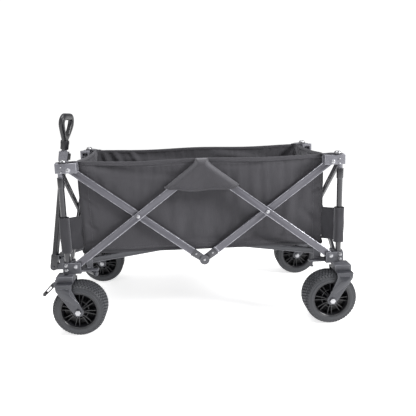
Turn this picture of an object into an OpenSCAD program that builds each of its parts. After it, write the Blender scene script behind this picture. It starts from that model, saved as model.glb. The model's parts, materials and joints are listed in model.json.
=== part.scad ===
/* [Frame] */
// Distance along the wagon from the middle of the bed to a side scissor's corner pivot
half_length = 440; // [380:5:530]
// Height from the lower scissor pivots to the upper ones
rise = 330; // [270:5:400]
// Depth of a side scissor arm, as seen from the side
arm_depth = 25; // [18:1:28]
// Thickness of a side scissor arm, across the wagon
arm_thick = 12; // [10:0.5:15]
// Depth of an end scissor arm
end_arm_depth = 22; // [18:1:26]
// Thickness of an end scissor arm, along the wagon
end_arm_thick = 10; // [8:0.5:12]
// Outside radius of a corner post's lower tube
post_r = 9.5; // [8:0.25:11]
// Radius of the rivets that the arms turn on
rivet_r = 4; // [3:0.25:5]

/* [Wheels] */
// Outside diameter of a tyre
wheel_d = 180; // [150:5:216]
// Width of a tyre
wheel_w = 86; // [60:2:104]
// Radius of the rim's opening, inside the tyre
rim_r = 62; // [56:1:66]
// Radius of the wheel's axle bolt
axle_r = 6; // [4:0.5:8]
// How far the front wheels trail behind their swivel
trail = 43; // [30:1:50]
// Distance from the scissor's corner pivot out to the wheel fork's middle, along the wagon
fork_out = 35; // [30:1:40]

/* [Handle] */
// Length of the handle's outer tube, from its pivot to the collar's underside
handle_tube = 420; // [350:5:500]
// Outside radius of the handle's outer tube
handle_r = 12.5; // [11:0.5:14]
// Lean of the parked handle towards the bed, in degrees
handle_lean = 9.5; // [6:0.5:12]
// Height of the handle's pivot above the ground
handle_z = 155; // [150:1:162]
// Width of the grip's loop
grip_w = 114; // [100:2:130]
// Height of the grip's loop
grip_h = 112; // [100:2:130]

/* [Bag] */
// Thickness of the bag's cloth walls
cloth = 3; // [2:0.5:4]
// Height of the bag's wall
bag_h = 320; // [260:5:330]

/* [Hidden] */
$fn = 48;

// Clearances: round fits, side to side between moving pieces, and cuts that pass a face
fit = 0.1;
gap = 0.5;
cut = 1;

// The side scissors fold to the same angle as the end scissors
half_width = half_length / 2;
arm_length = sqrt(half_length * half_length + rise * rise);
arm_angle = atan(rise / half_length);

// Turn of every arm from open to folded, and the share of its width that the frame keeps
fold_turn = 40;
folded_angle = arm_angle + fold_turn;
fold_share = cos(folded_angle) / cos(arm_angle);

// Heights, from the ground up
crown_gap = 4;
crown_t = 3;
neck_h = 20;
corner_h = 39;
pivot_up = 25;
crown_z = wheel_d + crown_gap;
neck_z = crown_z + crown_t;
corner_z = neck_z + neck_h;
lower_z = corner_z + pivot_up;
upper_z = lower_z + rise;

// Sizes that several castings share
upper_over = 23;
upper_below = 10;

// Layers across the wagon: the bag, the upper arms, then the lower arms outside them
layer_gap = 2;
face_wall = 8;
upper_top = upper_z + upper_over;
upper_under = upper_z - upper_below;
bag_y = half_width + 0.5;
upper_arm_y = half_width + 8;
lower_arm_y = upper_arm_y + arm_thick + layer_gap;
corner_face = lower_arm_y + arm_thick + face_wall;
rivet_head = 3;
rivet_head_r = rivet_r + 3;
lap_r = arm_depth / 2 / cos(folded_angle) + 2;

// Layers along the wagon at each end: left cross arm, then right cross arm outside it
cross_in = half_length + 18;
cross_out = cross_in + end_arm_thick + layer_gap;
cross_face = cross_out + end_arm_thick + face_wall;

// Corner pieces
wall = 5;
slot_side = 4;
slot_end = 3;
pad_t = 6;
link_pad = 11;
post_wrap = 16;
post_x = half_length + 28;
post_y = lower_arm_y + 8;
corner_in = half_length - 17;
upper_in = half_length - 28;
lug_y = half_width - 15;
slot_y = half_width + end_arm_depth / 2 + slot_end;
inner_post_r = post_r - 1.5;
post_foot = lower_z + 14;
post_head = upper_z - 24;
post_collar = 34;
collar_wall = 2;

// Forks and wheels
fork_x = half_length + fork_out;
fork_y = corner_face + 4;
axle_x = fork_x - trail;
axle_z = wheel_d / 2;
leg_in = wheel_w / 2 + 4;
leg_t = 4;
crown_len = 56;
leg_end_r = 16.5;
crown_back = crown_len / 2 - 2;
stem_r = 8;
stem_short = 2;
hub_r = 17;
barrel_t = 4;
web_t = 6;
tyre_lap = 4;
bolt_head = 7;
bolt_head_r = 10;
bolt_end = 4;

// Brake pedals
pedal_w = 16;
pedal_x = fork_x + crown_len / 2 + 5;
pedal_z = crown_z - 8;
pedal_pin_r = 3;
pedal_ear = 4;
pedal_ear_drop = 14;

// Draw links: as long as half an arm, so that they fold with the frame
link_length = arm_length / 2;
link_front_y = 12;
link_front_x = half_length + 105;
link_run = link_length * sin(arm_angle);
link_rear_x = link_front_x - link_run;
link_rear_y = half_width + link_front_y;
link_t = 10;
link_r = 9;
link_z = corner_z - 15;

// Handle
handle_boss_r = 13.5;
yoke_face = link_front_x + link_r + gap + 4;
handle_x = yoke_face + 22.5;
cheek_y = 8;
cheek_t = 5;
socket_h = 50;
collar_h = 34;
inner_r = handle_r - 2.5;
tube_foot = 28;
tube_floor = 4;
collar_r = 16;
inner_foot = 60;
inner_wall = 1.5;
grip_z = handle_tube + collar_h + 30;
grip_t = 30;
lever_x = 15.5;
lever_z = handle_tube + collar_h - 5;
lever_w = 6;
lever_r = 4;
lever_pin_r = 2.5;
lever_h = 24;
lever_out = 9;

// Floor struts: flat bars from the lower corners to a plate under the middle of the bed
hub_reach = 80;
hub_r_out = hub_reach + 14;
hub_half_y = half_width * fold_share - 2;
hub_t = 4;
hub_hole_r = 18;
hub_lug = 3;
hub_lug_r = 8;
strut_foot = [half_length - 35, (half_length - 35) / 2];
strut_out = norm(strut_foot);
strut_turn = atan(half_width / half_length);
strut_w = 14;
strut_h = 20;
strut_z = lower_z + 4;
ear_t = 4;
ear_back = 9;
ear_len = 22;
ear_up = 10;

// Bag
bag_x = half_length - 16;
bag_top = upper_top;
bag_under = bag_top - bag_h;

// The row's origin is on the ground, midway between the handle's boss and the rear tyres
origin_x = (handle_x + handle_boss_r - axle_x - axle_z) / 2;

module place() {
  translate([origin_x, 0, 0]) children();
}

// Draws a rear right piece at the corner asked for
module at_corner(end, side) {
  place()
    mirror([end == "front" ? 1 : 0, 0, 0])
      mirror([0, side == "left" ? 1 : 0, 0]) children();
}

// A cylinder along Y, centred on a point of the side view
module along_y(x, z, y0, y1, r) {
  translate([x, y1, z]) rotate([90, 0, 0]) cylinder(h = y1 - y0, r = r);
}

// A cylinder along X, centred on a point of the end view
module along_x(y, z, x0, x1, r) {
  translate([x0, y, z]) rotate([0, 90, 0]) cylinder(h = x1 - x0, r = r);
}

module block(low, high) {
  translate(low) cube(high - low);
}

// A bar with round ends, from the origin along X, standing in the XZ plane
module bar_xz(length, depth, thick) {
  translate([0, thick, 0]) rotate([90, 0, 0]) linear_extrude(thick) {
    circle(d = depth);
    translate([0, -depth / 2]) square([length, depth]);
    translate([length, 0]) circle(d = depth);
  }
}

// A side scissor arm with holes at its ends and middle; half of its far end is
// cut away where it laps over its neighbour at the middle of the wagon
module side_arm(outer_lap) {
  hole_r = rivet_r + fit;
  difference() {
    bar_xz(arm_length, arm_depth, arm_thick);
    along_y(0, 0, -cut, arm_thick + cut, hole_r);
    along_y(arm_length / 2, 0, -cut, arm_thick + cut, hole_r);
    along_y(arm_length, 0, -cut, arm_thick + cut, hole_r);
    along_y(
      arm_length, 0,
      outer_lap ? -cut : arm_thick / 2 - gap / 2,
      outer_lap ? arm_thick / 2 + gap / 2 : arm_thick + cut,
      lap_r
    );
  }
}

// Rivet through two arms: its heads stand off the stack, save where its own arm is
module rivet_y(x, z, y0, y1, own_inner) {
  along_y(x, z, y0 - rivet_head, y1 + rivet_head, rivet_r);
  along_y(x, z, y0 - rivet_head, own_inner ? y0 : y0 - gap, rivet_head_r);
  along_y(x, z, own_inner ? y1 + gap : y1, y1 + rivet_head, rivet_head_r);
}

module lower_corner(end, side) {
  color("dimgray") at_corner(end, side) difference() {
    union() {
      block([corner_in, lower_arm_y - wall, corner_z],
            [post_x + post_wrap, corner_face, corner_z + corner_h]);
      block([cross_in - face_wall, lug_y, corner_z], [cross_face, lower_arm_y, corner_z + corner_h]);
      block([link_rear_x - link_pad, link_rear_y - link_pad, corner_z],
            [corner_in + cut, link_rear_y + link_pad, corner_z + pad_t]);
      block([strut_foot.x - ear_t, strut_foot.y + strut_w / 2 + gap, corner_z],
            [cross_in, lower_arm_y - gap, corner_z + pad_t]);
      strut_ears();
      if (end == "front") {
        castor_housing();
      } else {
        block([fork_x - crown_len / 2, lower_arm_y - wall, neck_z],
              [fork_x + crown_len / 2, fork_y + crown_back, corner_z]);
      }
      translate([link_rear_x, link_rear_y, link_z - cut])
        cylinder(h = corner_z - link_z + 2 * cut, r = rivet_r);
      translate([link_rear_x, link_rear_y, link_z - cut - rivet_head])
        cylinder(h = rivet_head, r = rivet_head_r);
    }
    // Slots that the arms turn in, open above
    block([corner_in - cut, lower_arm_y - gap, lower_z - arm_depth / 2 - slot_side],
          [post_x - post_r - slot_end, lower_arm_y + arm_thick + gap, corner_z + corner_h + cut]);
    block([cross_in - gap, lug_y - cut, lower_z - end_arm_depth / 2 - slot_end],
          [cross_out + end_arm_thick + gap, slot_y, corner_z + corner_h + cut]);
    if (end == "front") {
      translate([fork_x, fork_y, neck_z - cut]) cylinder(h = neck_h + cut, r = stem_r + fit);
    }
  }
  color("silver") at_corner(end, side) {
    along_y(half_length, lower_z, lower_arm_y - gap, corner_face + rivet_head, rivet_r);
    along_y(half_length, lower_z, corner_face, corner_face + rivet_head, rivet_head_r);
    along_x(half_width, lower_z, cross_in - gap, cross_out + end_arm_thick + gap, rivet_r);
  }
}

// Two ears that hold a floor strut's outer end, on a foot between them
module strut_ears() {
  ear_y = strut_w / 2 + gap;
  across = 2 * (ear_y + ear_t);
  translate([strut_foot.x, strut_foot.y, strut_z]) rotate([0, 0, strut_turn]) {
    for (y = [-ear_y - ear_t, ear_y]) {
      translate([-ear_back, y, corner_z - strut_z]) cube([ear_len, ear_t, strut_z - corner_z + ear_up]);
    }
    translate([ear_back, -across / 2, corner_z - strut_z]) cube([ear_len + ear_t, across, pad_t]);
    translate([0, across / 2, 0]) rotate([90, 0, 0]) cylinder(h = across, r = rivet_r);
  }
}

module castor_housing() {
  block([fork_x - crown_len / 2, lower_arm_y - wall, neck_z + gap],
        [fork_x + crown_len / 2, fork_y + crown_back, corner_z]);
}

// Lower tube of a corner post, with the plastic collar at its top
module outer_post(end, side) {
  color("dimgray") at_corner(end, side) translate([post_x, post_y, 0]) difference() {
    union() {
      translate([0, 0, corner_z + corner_h]) cylinder(h = post_head - corner_z - corner_h, r = post_r);
      translate([0, 0, post_head - post_collar]) cylinder(h = post_collar, r = post_r + collar_wall);
    }
    translate([0, 0, post_foot]) cylinder(h = rise, r = inner_post_r + fit);
  }
}

module upper_corner(end, side) {
  color("silver") at_corner(end, side) {
    difference() {
      union() {
        block([upper_in, upper_arm_y - wall, upper_under], [post_x + post_wrap - 2, corner_face, upper_top]);
        block([cross_in - face_wall, lug_y, upper_under], [cross_face, upper_arm_y, upper_top]);
      }
      block([upper_in - cut, upper_arm_y - gap, upper_under - cut],
            [post_x - post_r - slot_end, upper_arm_y + arm_thick + gap, upper_z + arm_depth / 2 + slot_end]);
      block([cross_in - gap, lug_y - cut, upper_under - cut],
            [cross_out + end_arm_thick + gap, slot_y, upper_z + end_arm_depth / 2 + slot_end]);
    }
    along_y(half_length, upper_z, upper_arm_y - gap, corner_face + rivet_head, rivet_r);
    along_y(half_length, upper_z, corner_face, corner_face + rivet_head, rivet_head_r);
    along_x(half_width, upper_z, cross_in - gap, cross_out + end_arm_thick + gap, rivet_r);
    translate([post_x, post_y, post_foot + fit])
      cylinder(h = upper_under - post_foot - fit, r = inner_post_r);
  }
}

// Arm from a lower corner up to the top middle, outside the upper arms
module lower_arm(end, side) {
  color("gray") at_corner(end, side)
    translate([half_length, lower_arm_y, lower_z]) rotate([0, 180 + arm_angle, 0])
      side_arm(end == "front");
  if (end == "front") {
    color("silver") at_corner(end, side)
      rivet_y(0, upper_z, lower_arm_y, lower_arm_y + arm_thick, false);
  }
}

// Arm from an upper corner down to the bottom middle; it carries the crossing rivet
module upper_arm(end, side) {
  color("gray") at_corner(end, side)
    translate([half_length, upper_arm_y, upper_z]) rotate([0, 180 - arm_angle, 0])
      side_arm(end == "front");
  color("silver") at_corner(end, side) {
    rivet_y(half_length / 2, lower_z + rise / 2, upper_arm_y, lower_arm_y + arm_thick, true);
    if (end == "front") {
      rivet_y(0, lower_z, upper_arm_y, upper_arm_y + arm_thick, false);
    }
  }
}

// End scissor arm from the lower corner on one side to the upper corner on the other
module cross_arm(end, side) {
  x = side == "left" ? cross_in : cross_out;
  color("gray") at_corner(end, side) difference() {
    translate([x, half_width, lower_z]) rotate([0, 0, 90]) rotate([0, arm_angle, 0]) mirror([1, 0, 0])
      translate([0, -end_arm_thick, 0]) cross_bar();
    along_x(0, lower_z + rise / 2, x - cut, x + end_arm_thick + cut, rivet_r + fit);
  }
  if (side == "left") {
    color("silver") at_corner(end, side) {
      along_x(0, lower_z + rise / 2, cross_in - rivet_head, cross_out + end_arm_thick + rivet_head, rivet_r);
      along_x(0, lower_z + rise / 2, cross_in - rivet_head, cross_in, rivet_head_r);
    }
  }
}

module cross_bar() {
  difference() {
    bar_xz(arm_length, end_arm_depth, end_arm_thick);
    for (x = [0, arm_length]) {
      along_y(x, 0, -cut, end_arm_thick + cut, rivet_r + fit);
    }
  }
}

// Floor strut from a lower corner to the plate under the middle of the bed
module floor_strut(end, side) {
  length = strut_out - hub_reach;
  holds_hub = end == "front" && side == "left";
  color("dimgray") at_corner(end, side) rotate([0, 0, strut_turn])
    translate([strut_out, strut_w / 2, strut_z]) mirror([1, 0, 0]) rotate([90, 0, 0])
      difference() {
        linear_extrude(strut_w) {
          circle(d = strut_h);
          translate([0, -strut_h / 2]) square([length, strut_h]);
          translate([length, 0]) circle(d = strut_h);
        }
        translate([0, 0, -cut]) cylinder(h = strut_w + 2 * cut, r = rivet_r + fit);
        if (holds_hub) {
          translate([length, 0, -cut]) cylinder(h = strut_w + 2 * cut, r = rivet_r + fit);
          translate([length - strut_h, -strut_h, strut_w / 2 - hub_lug - gap])
            cube([2 * strut_h, 2 * strut_h, 2 * (hub_lug + gap)]);
        }
      }
}

// Plate that the struts push up, hinged on the front left strut's end
module floor_hub() {
  lug_h = strut_h / 2 + cut;
  plate_z = strut_z + lug_h;
  color("dimgray") place() difference() {
    intersection() {
      translate([0, 0, plate_z]) cylinder(h = hub_t, r = hub_r_out);
      block([-hub_r_out, -hub_half_y, plate_z - cut], [hub_r_out, hub_half_y, plate_z + hub_t + cut]);
    }
    translate([0, 0, plate_z - cut]) cylinder(h = hub_t + 2 * cut, r = hub_hole_r);
  }
  color("dimgray") at_corner("front", "left") rotate([0, 0, strut_turn]) translate([hub_reach, 0, 0]) {
    translate([-hub_lug_r, -hub_lug, strut_z]) cube([2 * hub_lug_r, 2 * hub_lug, lug_h]);
    along_y(0, strut_z, -hub_lug, hub_lug, hub_lug_r);
    along_y(0, strut_z, -strut_w / 2, strut_w / 2, rivet_r);
  }
}

// Fork: a crown plate with two raking legs, in the side view's plane
module fork_legs() {
  rake = atan2(neck_z - axle_z, trail);
  across = [sin(rake), -cos(rake)] * leg_end_r;
  hub = [axle_x, axle_z];
  for (y = [fork_y - leg_in - leg_t, fork_y + leg_in]) {
    translate([0, y + leg_t, 0]) rotate([90, 0, 0]) linear_extrude(leg_t) difference() {
      union() {
        translate(hub) circle(r = leg_end_r);
        polygon([
          [fork_x + crown_len / 2, neck_z], [fork_x - crown_len / 2, neck_z],
          [fork_x - crown_len / 2 + 2, neck_z - 20], hub - across,
          hub + across, [fork_x + crown_len / 2 - 2, neck_z - 20]
        ]);
      }
      translate(hub) circle(r = axle_r);
    }
  }
  block([fork_x - crown_len / 2, fork_y - leg_in - leg_t, crown_z],
        [fork_x + crown_len / 2, fork_y + leg_in + leg_t, neck_z]);
}

module castor_fork(side) {
  color("dimgray") at_corner("front", side) {
    fork_legs();
    translate([fork_x, fork_y, crown_z]) cylinder(h = crown_t + neck_h - stem_short, r = stem_r);
    for (y = [fork_y - pedal_w / 2 - gap - pedal_ear, fork_y + pedal_w / 2 + gap]) {
      block([fork_x + crown_len / 2 - cut, y, crown_z - pedal_ear_drop],
            [pedal_x + 2 * pedal_pin_r + cut, y + pedal_ear, neck_z]);
    }
    pin_y = pedal_w / 2 + pedal_ear;
    along_y(pedal_x, pedal_z, fork_y - pin_y, fork_y + pin_y, pedal_pin_r);
  }
}

module rear_fork(side) {
  color("dimgray") at_corner("rear", side) fork_legs();
}

module axle(end, side) {
  color("silver") at_corner(end, side) {
    leg_out = leg_in + leg_t;
    along_y(axle_x, axle_z, fork_y - leg_out - bolt_end, fork_y + leg_out + bolt_end, axle_r);
    for (y = [fork_y - leg_out, fork_y + leg_out + bolt_head]) {
      translate([axle_x, y, axle_z]) rotate([90, 0, 0]) cylinder(h = bolt_head, r = bolt_head_r, $fn = 6);
    }
  }
}

// Moves a wheel drawn about the Z axis onto its axle
module on_axle(end, side) {
  at_corner(end, side) translate([axle_x, fork_y, axle_z]) rotate([-90, 0, 0]) children();
}

// Deep-dished rim: a barrel, a web in its middle and a hub tube
module rim(end, side) {
  seat = wheel_w / 2 - tyre_lap;
  hub_out = leg_in - 1;
  color("black") on_axle(end, side) rotate_extrude() {
    translate([rim_r - barrel_t, -seat]) square([barrel_t, 2 * seat]);
    translate([hub_r - cut, -web_t / 2]) square([rim_r - barrel_t - hub_r + 2 * cut, web_t]);
    translate([axle_r + fit, -hub_out]) square([hub_r - axle_r - fit, 2 * hub_out]);
  }
}

module tyre(end, side) {
  r = wheel_d / 2;
  half = wheel_w / 2;
  color("darkslategray") on_axle(end, side) rotate_extrude() polygon([
    [rim_r, -half + 3], [rim_r + 4, -half], [r - 16, -half], [r - 6, -half + 4],
    [r - 1, -half + 12], [r, -half + 20], [r, half - 20], [r - 1, half - 12],
    [r - 6, half - 4], [r - 16, half], [rim_r + 4, half], [rim_r, half - 3]
  ]);
}

// Brake pedal: a slotted lever that slopes down ahead of the castor fork
module brake_pedal(side) {
  color("black") at_corner("front", side)
    translate([pedal_x, fork_y + pedal_w / 2, pedal_z]) rotate([90, 0, 0])
      difference() {
        linear_extrude(pedal_w) {
          circle(r = 6);
          polygon([[0, -6], [8, -10], [38, -38], [46, -30], [16, 2], [0, 6]]);
          translate([42, -34]) circle(r = 5.5);
        }
        translate([0, 0, -cut]) cylinder(h = pedal_w + 2 * cut, r = pedal_pin_r + fit);
        translate([0, 0, -cut]) linear_extrude(pedal_w + 2 * cut)
          polygon([[14, -11], [34, -30], [38, -26], [18, -5]]);
      }
}

module draw_link(side) {
  color("dimgray") at_corner("front", side)
    translate([link_rear_x, link_rear_y, link_z]) rotate([0, 0, arm_angle - 90])
      linear_extrude(link_t) difference() {
        union() {
          circle(r = link_r);
          translate([0, -link_r]) square([link_length, 2 * link_r]);
          translate([link_length, 0]) circle(r = link_r);
        }
        circle(r = rivet_r + fit);
        translate([link_length, 0]) circle(r = rivet_r + fit);
      }
}

// Yoke on the ends of the draw links, with a tongue that the handle turns on
module handle_bracket() {
  plate_t = 4;
  low = link_z - gap - plate_t;
  high = link_z + link_t + gap;
  color("silver") at_corner("front", "right") {
    for (z = [low, high]) {
      block([link_front_x - 18, -24, z], [yoke_face, 24, z + plate_t]);
    }
    for (y = [-link_front_y, link_front_y]) {
      translate([link_front_x, y, low]) cylinder(h = high - low + plate_t, r = rivet_r);
    }
    block([yoke_face - 4, -24, low], [yoke_face, 24, high + plate_t]);
    block([link_front_x - 5, -cheek_y + gap, handle_z - 12], [yoke_face, cheek_y - gap, low + cut]);
    block([yoke_face - cut, -cheek_y + gap, handle_z - 12], [handle_x, cheek_y - gap, handle_z + 12]);
    along_y(handle_x, handle_z, -cheek_y + gap, cheek_y - gap, 12);
    along_y(handle_x, handle_z, -cheek_y - cheek_t - 3, cheek_y + cheek_t + 3, rivet_r);
  }
}

// Stands a piece of the handle, drawn upright about its pivot, at its parked lean
module on_handle() {
  place() translate([-handle_x, 0, handle_z]) rotate([0, handle_lean, 0]) children();
}

// Outer tube with its forked foot and the lock collar at its top
module handle_outer_tube() {
  width = 2 * handle_boss_r;
  color("silver") on_handle() {
    difference() {
      union() {
        for (y = [-cheek_y - cheek_t, cheek_y]) {
          along_y(0, 0, y, y + cheek_t, handle_boss_r);
          translate([-handle_boss_r, y, 0]) cube([width, cheek_t, 32]);
        }
        translate([-handle_boss_r, -cheek_y - cheek_t, 22])
          cube([width, 2 * (cheek_y + cheek_t), socket_h - 22]);
      }
      along_y(0, 0, -handle_boss_r - cut, handle_boss_r + cut, rivet_r + fit);
      translate([0, 0, tube_foot]) cylinder(h = socket_h, r = handle_r);
    }
    difference() {
      block([-collar_r, -collar_r, handle_tube - 2], [collar_r, collar_r, handle_tube + collar_h]);
      translate([0, 0, handle_tube - 2 - cut]) cylinder(h = collar_h + 4, r = inner_r + fit);
      translate([0, 0, handle_tube - 2 - cut]) cylinder(h = 2 + cut, r = handle_r);
      block([lever_x - lever_r - gap, -lever_w - gap, handle_tube + 2],
            [collar_r + cut, lever_w + gap, handle_tube + collar_h + cut]);
    }
    difference() {
      translate([0, 0, tube_foot]) cylinder(h = handle_tube - tube_foot, r = handle_r);
      translate([0, 0, tube_foot + tube_floor]) cylinder(h = handle_tube, r = inner_r + fit);
    }
    along_y(lever_x, lever_z, -lever_w - lever_r, lever_w + lever_r, lever_pin_r);
  }
}

// Cam lever that locks the tubes, flush with the collar's bed side
module handle_lock_lever() {
  color("black") on_handle() difference() {
    union() {
      along_y(lever_x, lever_z, -lever_w, lever_w, lever_r);
      block([lever_x - 1, -lever_w, lever_z - lever_h], [lever_x + lever_out, lever_w, lever_z]);
    }
    along_y(lever_x, lever_z, -lever_w - cut, lever_w + cut, lever_pin_r + fit);
  }
}

module handle_inner_tube() {
  color("silver") on_handle() difference() {
    translate([0, 0, inner_foot]) cylinder(h = grip_z - inner_foot, r = inner_r);
    translate([0, 0, inner_foot - cut])
      cylinder(h = grip_z - inner_foot - tube_floor, r = inner_r - inner_wall);
  }
}

// Loop grip across the wagon: round shoulders above, a narrow throat below
module grip_outline(shrink) {
  shoulder = 34;
  hull() {
    for (y = [-1, 1]) {
      translate([y * (grip_w / 2 - shoulder), grip_h - shoulder]) circle(r = shoulder - shrink, $fn = 32);
    }
    translate([0, 18]) circle(r = 18 - min(shrink, 14), $fn = 32);
  }
}

module handle_grip() {
  bar = 26;
  color("black") on_handle() translate([grip_t / 2, 0, grip_z]) rotate([90, 0, -90])
    linear_extrude(grip_t) difference() {
      grip_outline(0);
      intersection() {
        grip_outline(bar);
        translate([-grip_w, bar + 10]) square([2 * grip_w, grip_h]);
      }
    }
}

// Cloth walls hang from the upper corners; the floor's halves hang from the side walls
module bag_wall_side(side) {
  color("dimgray") at_corner("rear", side)
    block([-bag_x, bag_y - cloth, bag_under], [bag_x, bag_y, bag_top]);
}

module bag_wall_end(end) {
  color("dimgray") at_corner(end, "right")
    block([bag_x - cloth, -bag_y + cloth, bag_under], [bag_x, bag_y - cloth, bag_top]);
}

module bag_floor(side) {
  color("dimgray") at_corner("rear", side)
    block([-bag_x + cloth, gap, bag_under], [bag_x - cloth, bag_y - cloth, bag_under + cloth]);
}

lower_corner("front", "left");  // lower_corner_front_left
lower_corner("front", "right");  // lower_corner_front_right
lower_corner("rear", "left");  // lower_corner_rear_left
lower_corner("rear", "right");  // lower_corner_rear_right
outer_post("front", "left");  // outer_post_front_left
outer_post("front", "right");  // outer_post_front_right
outer_post("rear", "left");  // outer_post_rear_left
outer_post("rear", "right");  // outer_post_rear_right
upper_corner("front", "left");  // upper_corner_front_left
upper_corner("front", "right");  // upper_corner_front_right
upper_corner("rear", "left");  // upper_corner_rear_left
upper_corner("rear", "right");  // upper_corner_rear_right
lower_arm("front", "left");  // lower_arm_front_left
lower_arm("front", "right");  // lower_arm_front_right
lower_arm("rear", "left");  // lower_arm_rear_left
lower_arm("rear", "right");  // lower_arm_rear_right
upper_arm("front", "left");  // upper_arm_front_left
upper_arm("front", "right");  // upper_arm_front_right
upper_arm("rear", "left");  // upper_arm_rear_left
upper_arm("rear", "right");  // upper_arm_rear_right
cross_arm("front", "left");  // front_cross_arm_left
cross_arm("front", "right");  // front_cross_arm_right
cross_arm("rear", "left");  // rear_cross_arm_left
cross_arm("rear", "right");  // rear_cross_arm_right
floor_strut("front", "left");  // floor_strut_front_left
floor_strut("front", "right");  // floor_strut_front_right
floor_strut("rear", "left");  // floor_strut_rear_left
floor_strut("rear", "right");  // floor_strut_rear_right
floor_hub();
castor_fork("left");  // castor_fork_left
castor_fork("right");  // castor_fork_right
rear_fork("left");  // rear_fork_left
rear_fork("right");  // rear_fork_right
axle("front", "left");  // axle_front_left
axle("front", "right");  // axle_front_right
axle("rear", "left");  // axle_rear_left
axle("rear", "right");  // axle_rear_right
rim("front", "left");  // rim_front_left
rim("front", "right");  // rim_front_right
rim("rear", "left");  // rim_rear_left
rim("rear", "right");  // rim_rear_right
tyre("front", "left");  // tyre_front_left
tyre("front", "right");  // tyre_front_right
tyre("rear", "left");  // tyre_rear_left
tyre("rear", "right");  // tyre_rear_right
brake_pedal("left");  // brake_pedal_left
brake_pedal("right");  // brake_pedal_right
draw_link("left");  // draw_link_left
draw_link("right");  // draw_link_right
handle_bracket();
handle_outer_tube();
handle_inner_tube();
handle_grip();
handle_lock_lever();
bag_wall_side("left");  // bag_wall_left
bag_wall_side("right");  // bag_wall_right
bag_wall_end("front");  // bag_wall_front
bag_wall_end("rear");  // bag_wall_rear
bag_floor("left");  // bag_floor_left
bag_floor("right");  // bag_floor_right
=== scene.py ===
import json
from math import cos, exp, hypot, pi, radians, sin, sqrt

import bmesh
import bpy
from mathutils import Matrix, Vector, noise


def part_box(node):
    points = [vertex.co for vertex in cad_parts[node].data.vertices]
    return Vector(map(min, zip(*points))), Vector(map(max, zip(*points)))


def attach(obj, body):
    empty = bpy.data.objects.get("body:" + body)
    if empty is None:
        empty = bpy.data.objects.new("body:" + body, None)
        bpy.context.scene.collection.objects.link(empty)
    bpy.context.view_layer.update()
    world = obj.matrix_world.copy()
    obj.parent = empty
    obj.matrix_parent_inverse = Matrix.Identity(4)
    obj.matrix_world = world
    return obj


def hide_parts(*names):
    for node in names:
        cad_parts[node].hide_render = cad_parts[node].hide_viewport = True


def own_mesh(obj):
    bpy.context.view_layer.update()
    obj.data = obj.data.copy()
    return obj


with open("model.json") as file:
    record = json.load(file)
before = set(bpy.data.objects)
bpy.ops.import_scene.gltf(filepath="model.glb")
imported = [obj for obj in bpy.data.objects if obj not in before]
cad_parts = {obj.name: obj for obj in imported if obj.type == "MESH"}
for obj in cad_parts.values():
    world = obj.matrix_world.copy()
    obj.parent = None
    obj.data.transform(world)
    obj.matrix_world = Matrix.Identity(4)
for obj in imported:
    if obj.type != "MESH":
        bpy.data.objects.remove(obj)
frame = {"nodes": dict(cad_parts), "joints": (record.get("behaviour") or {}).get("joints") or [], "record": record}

for leftover in ("Cube", "Light", "Camera"):
    if leftover in bpy.data.objects:
        bpy.data.objects.remove(bpy.data.objects[leftover])
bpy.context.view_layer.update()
print("frame loaded:", len(frame["nodes"]), "pieces")

ends, sides = ("front", "rear"), ("left", "right")
alongSign = {"front": -1, "rear": 1}
acrossSign = {"left": -1, "right": 1}
wallLow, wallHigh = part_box("bag_wall_left")
bedMiddle = (wallLow.x + wallHigh.x) / 2  # the bed's middle, along the wagon
weldGap = 2e-6  # points closer than this are one


def pivot(jointName):
    return Vector(next(j for j in frame["joints"] if j["name"] == jointName)["pos_m"])


# a socket that can be used in plain arithmetic

class Signal:
    def __init__(self, wiring, node, out=0):
        self.wiring, self.node, self.socket = wiring, node, node.outputs[out]

    def maths(self, operation, first, second=0.0):
        return self.wiring.add("ShaderNodeMath", {"operation": operation}, {0: first, 1: second})

    def other(self, out):
        return Signal(self.wiring, self.node, out)

    def sine(self):
        return self.maths("SINE", self)

    def cosine(self):
        return self.maths("COSINE", self)

    def clamped(self):
        return self.maths("MINIMUM", self.maths("MAXIMUM", self, 0.0), 1.0)

    def __add__(self, value):
        return self.maths("ADD", self, value)

    __radd__ = __add__

    def __sub__(self, value):
        return self.maths("SUBTRACT", self, value)

    def __rsub__(self, value):
        return self.maths("SUBTRACT", value, self)

    def __mul__(self, value):
        return self.maths("MULTIPLY", self, value)

    __rmul__ = __mul__

    def __truediv__(self, value):
        return self.maths("DIVIDE", self, value)

    def __rtruediv__(self, value):
        return self.maths("DIVIDE", value, self)


class Wiring:
    def __init__(self, tree):
        self.tree = tree

    def feed(self, socket, value):
        if isinstance(value, Signal):
            self.tree.links.new(value.socket, socket)
        else:
            socket.default_value = value

    def add(self, kind, settings=None, inputs=None, out=0):
        node = self.tree.nodes.new(kind)
        for key, value in (settings or {}).items():
            if key == "stops":
                for spot, (position, level) in zip(node.color_ramp.elements, value):
                    spot.position, spot.color = position, (level, level, level, 1)
            else:
                setattr(node, key, value)
        for key, value in (inputs or {}).items():
            self.feed(node.inputs[key], value)
        return Signal(self, node, out)


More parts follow.
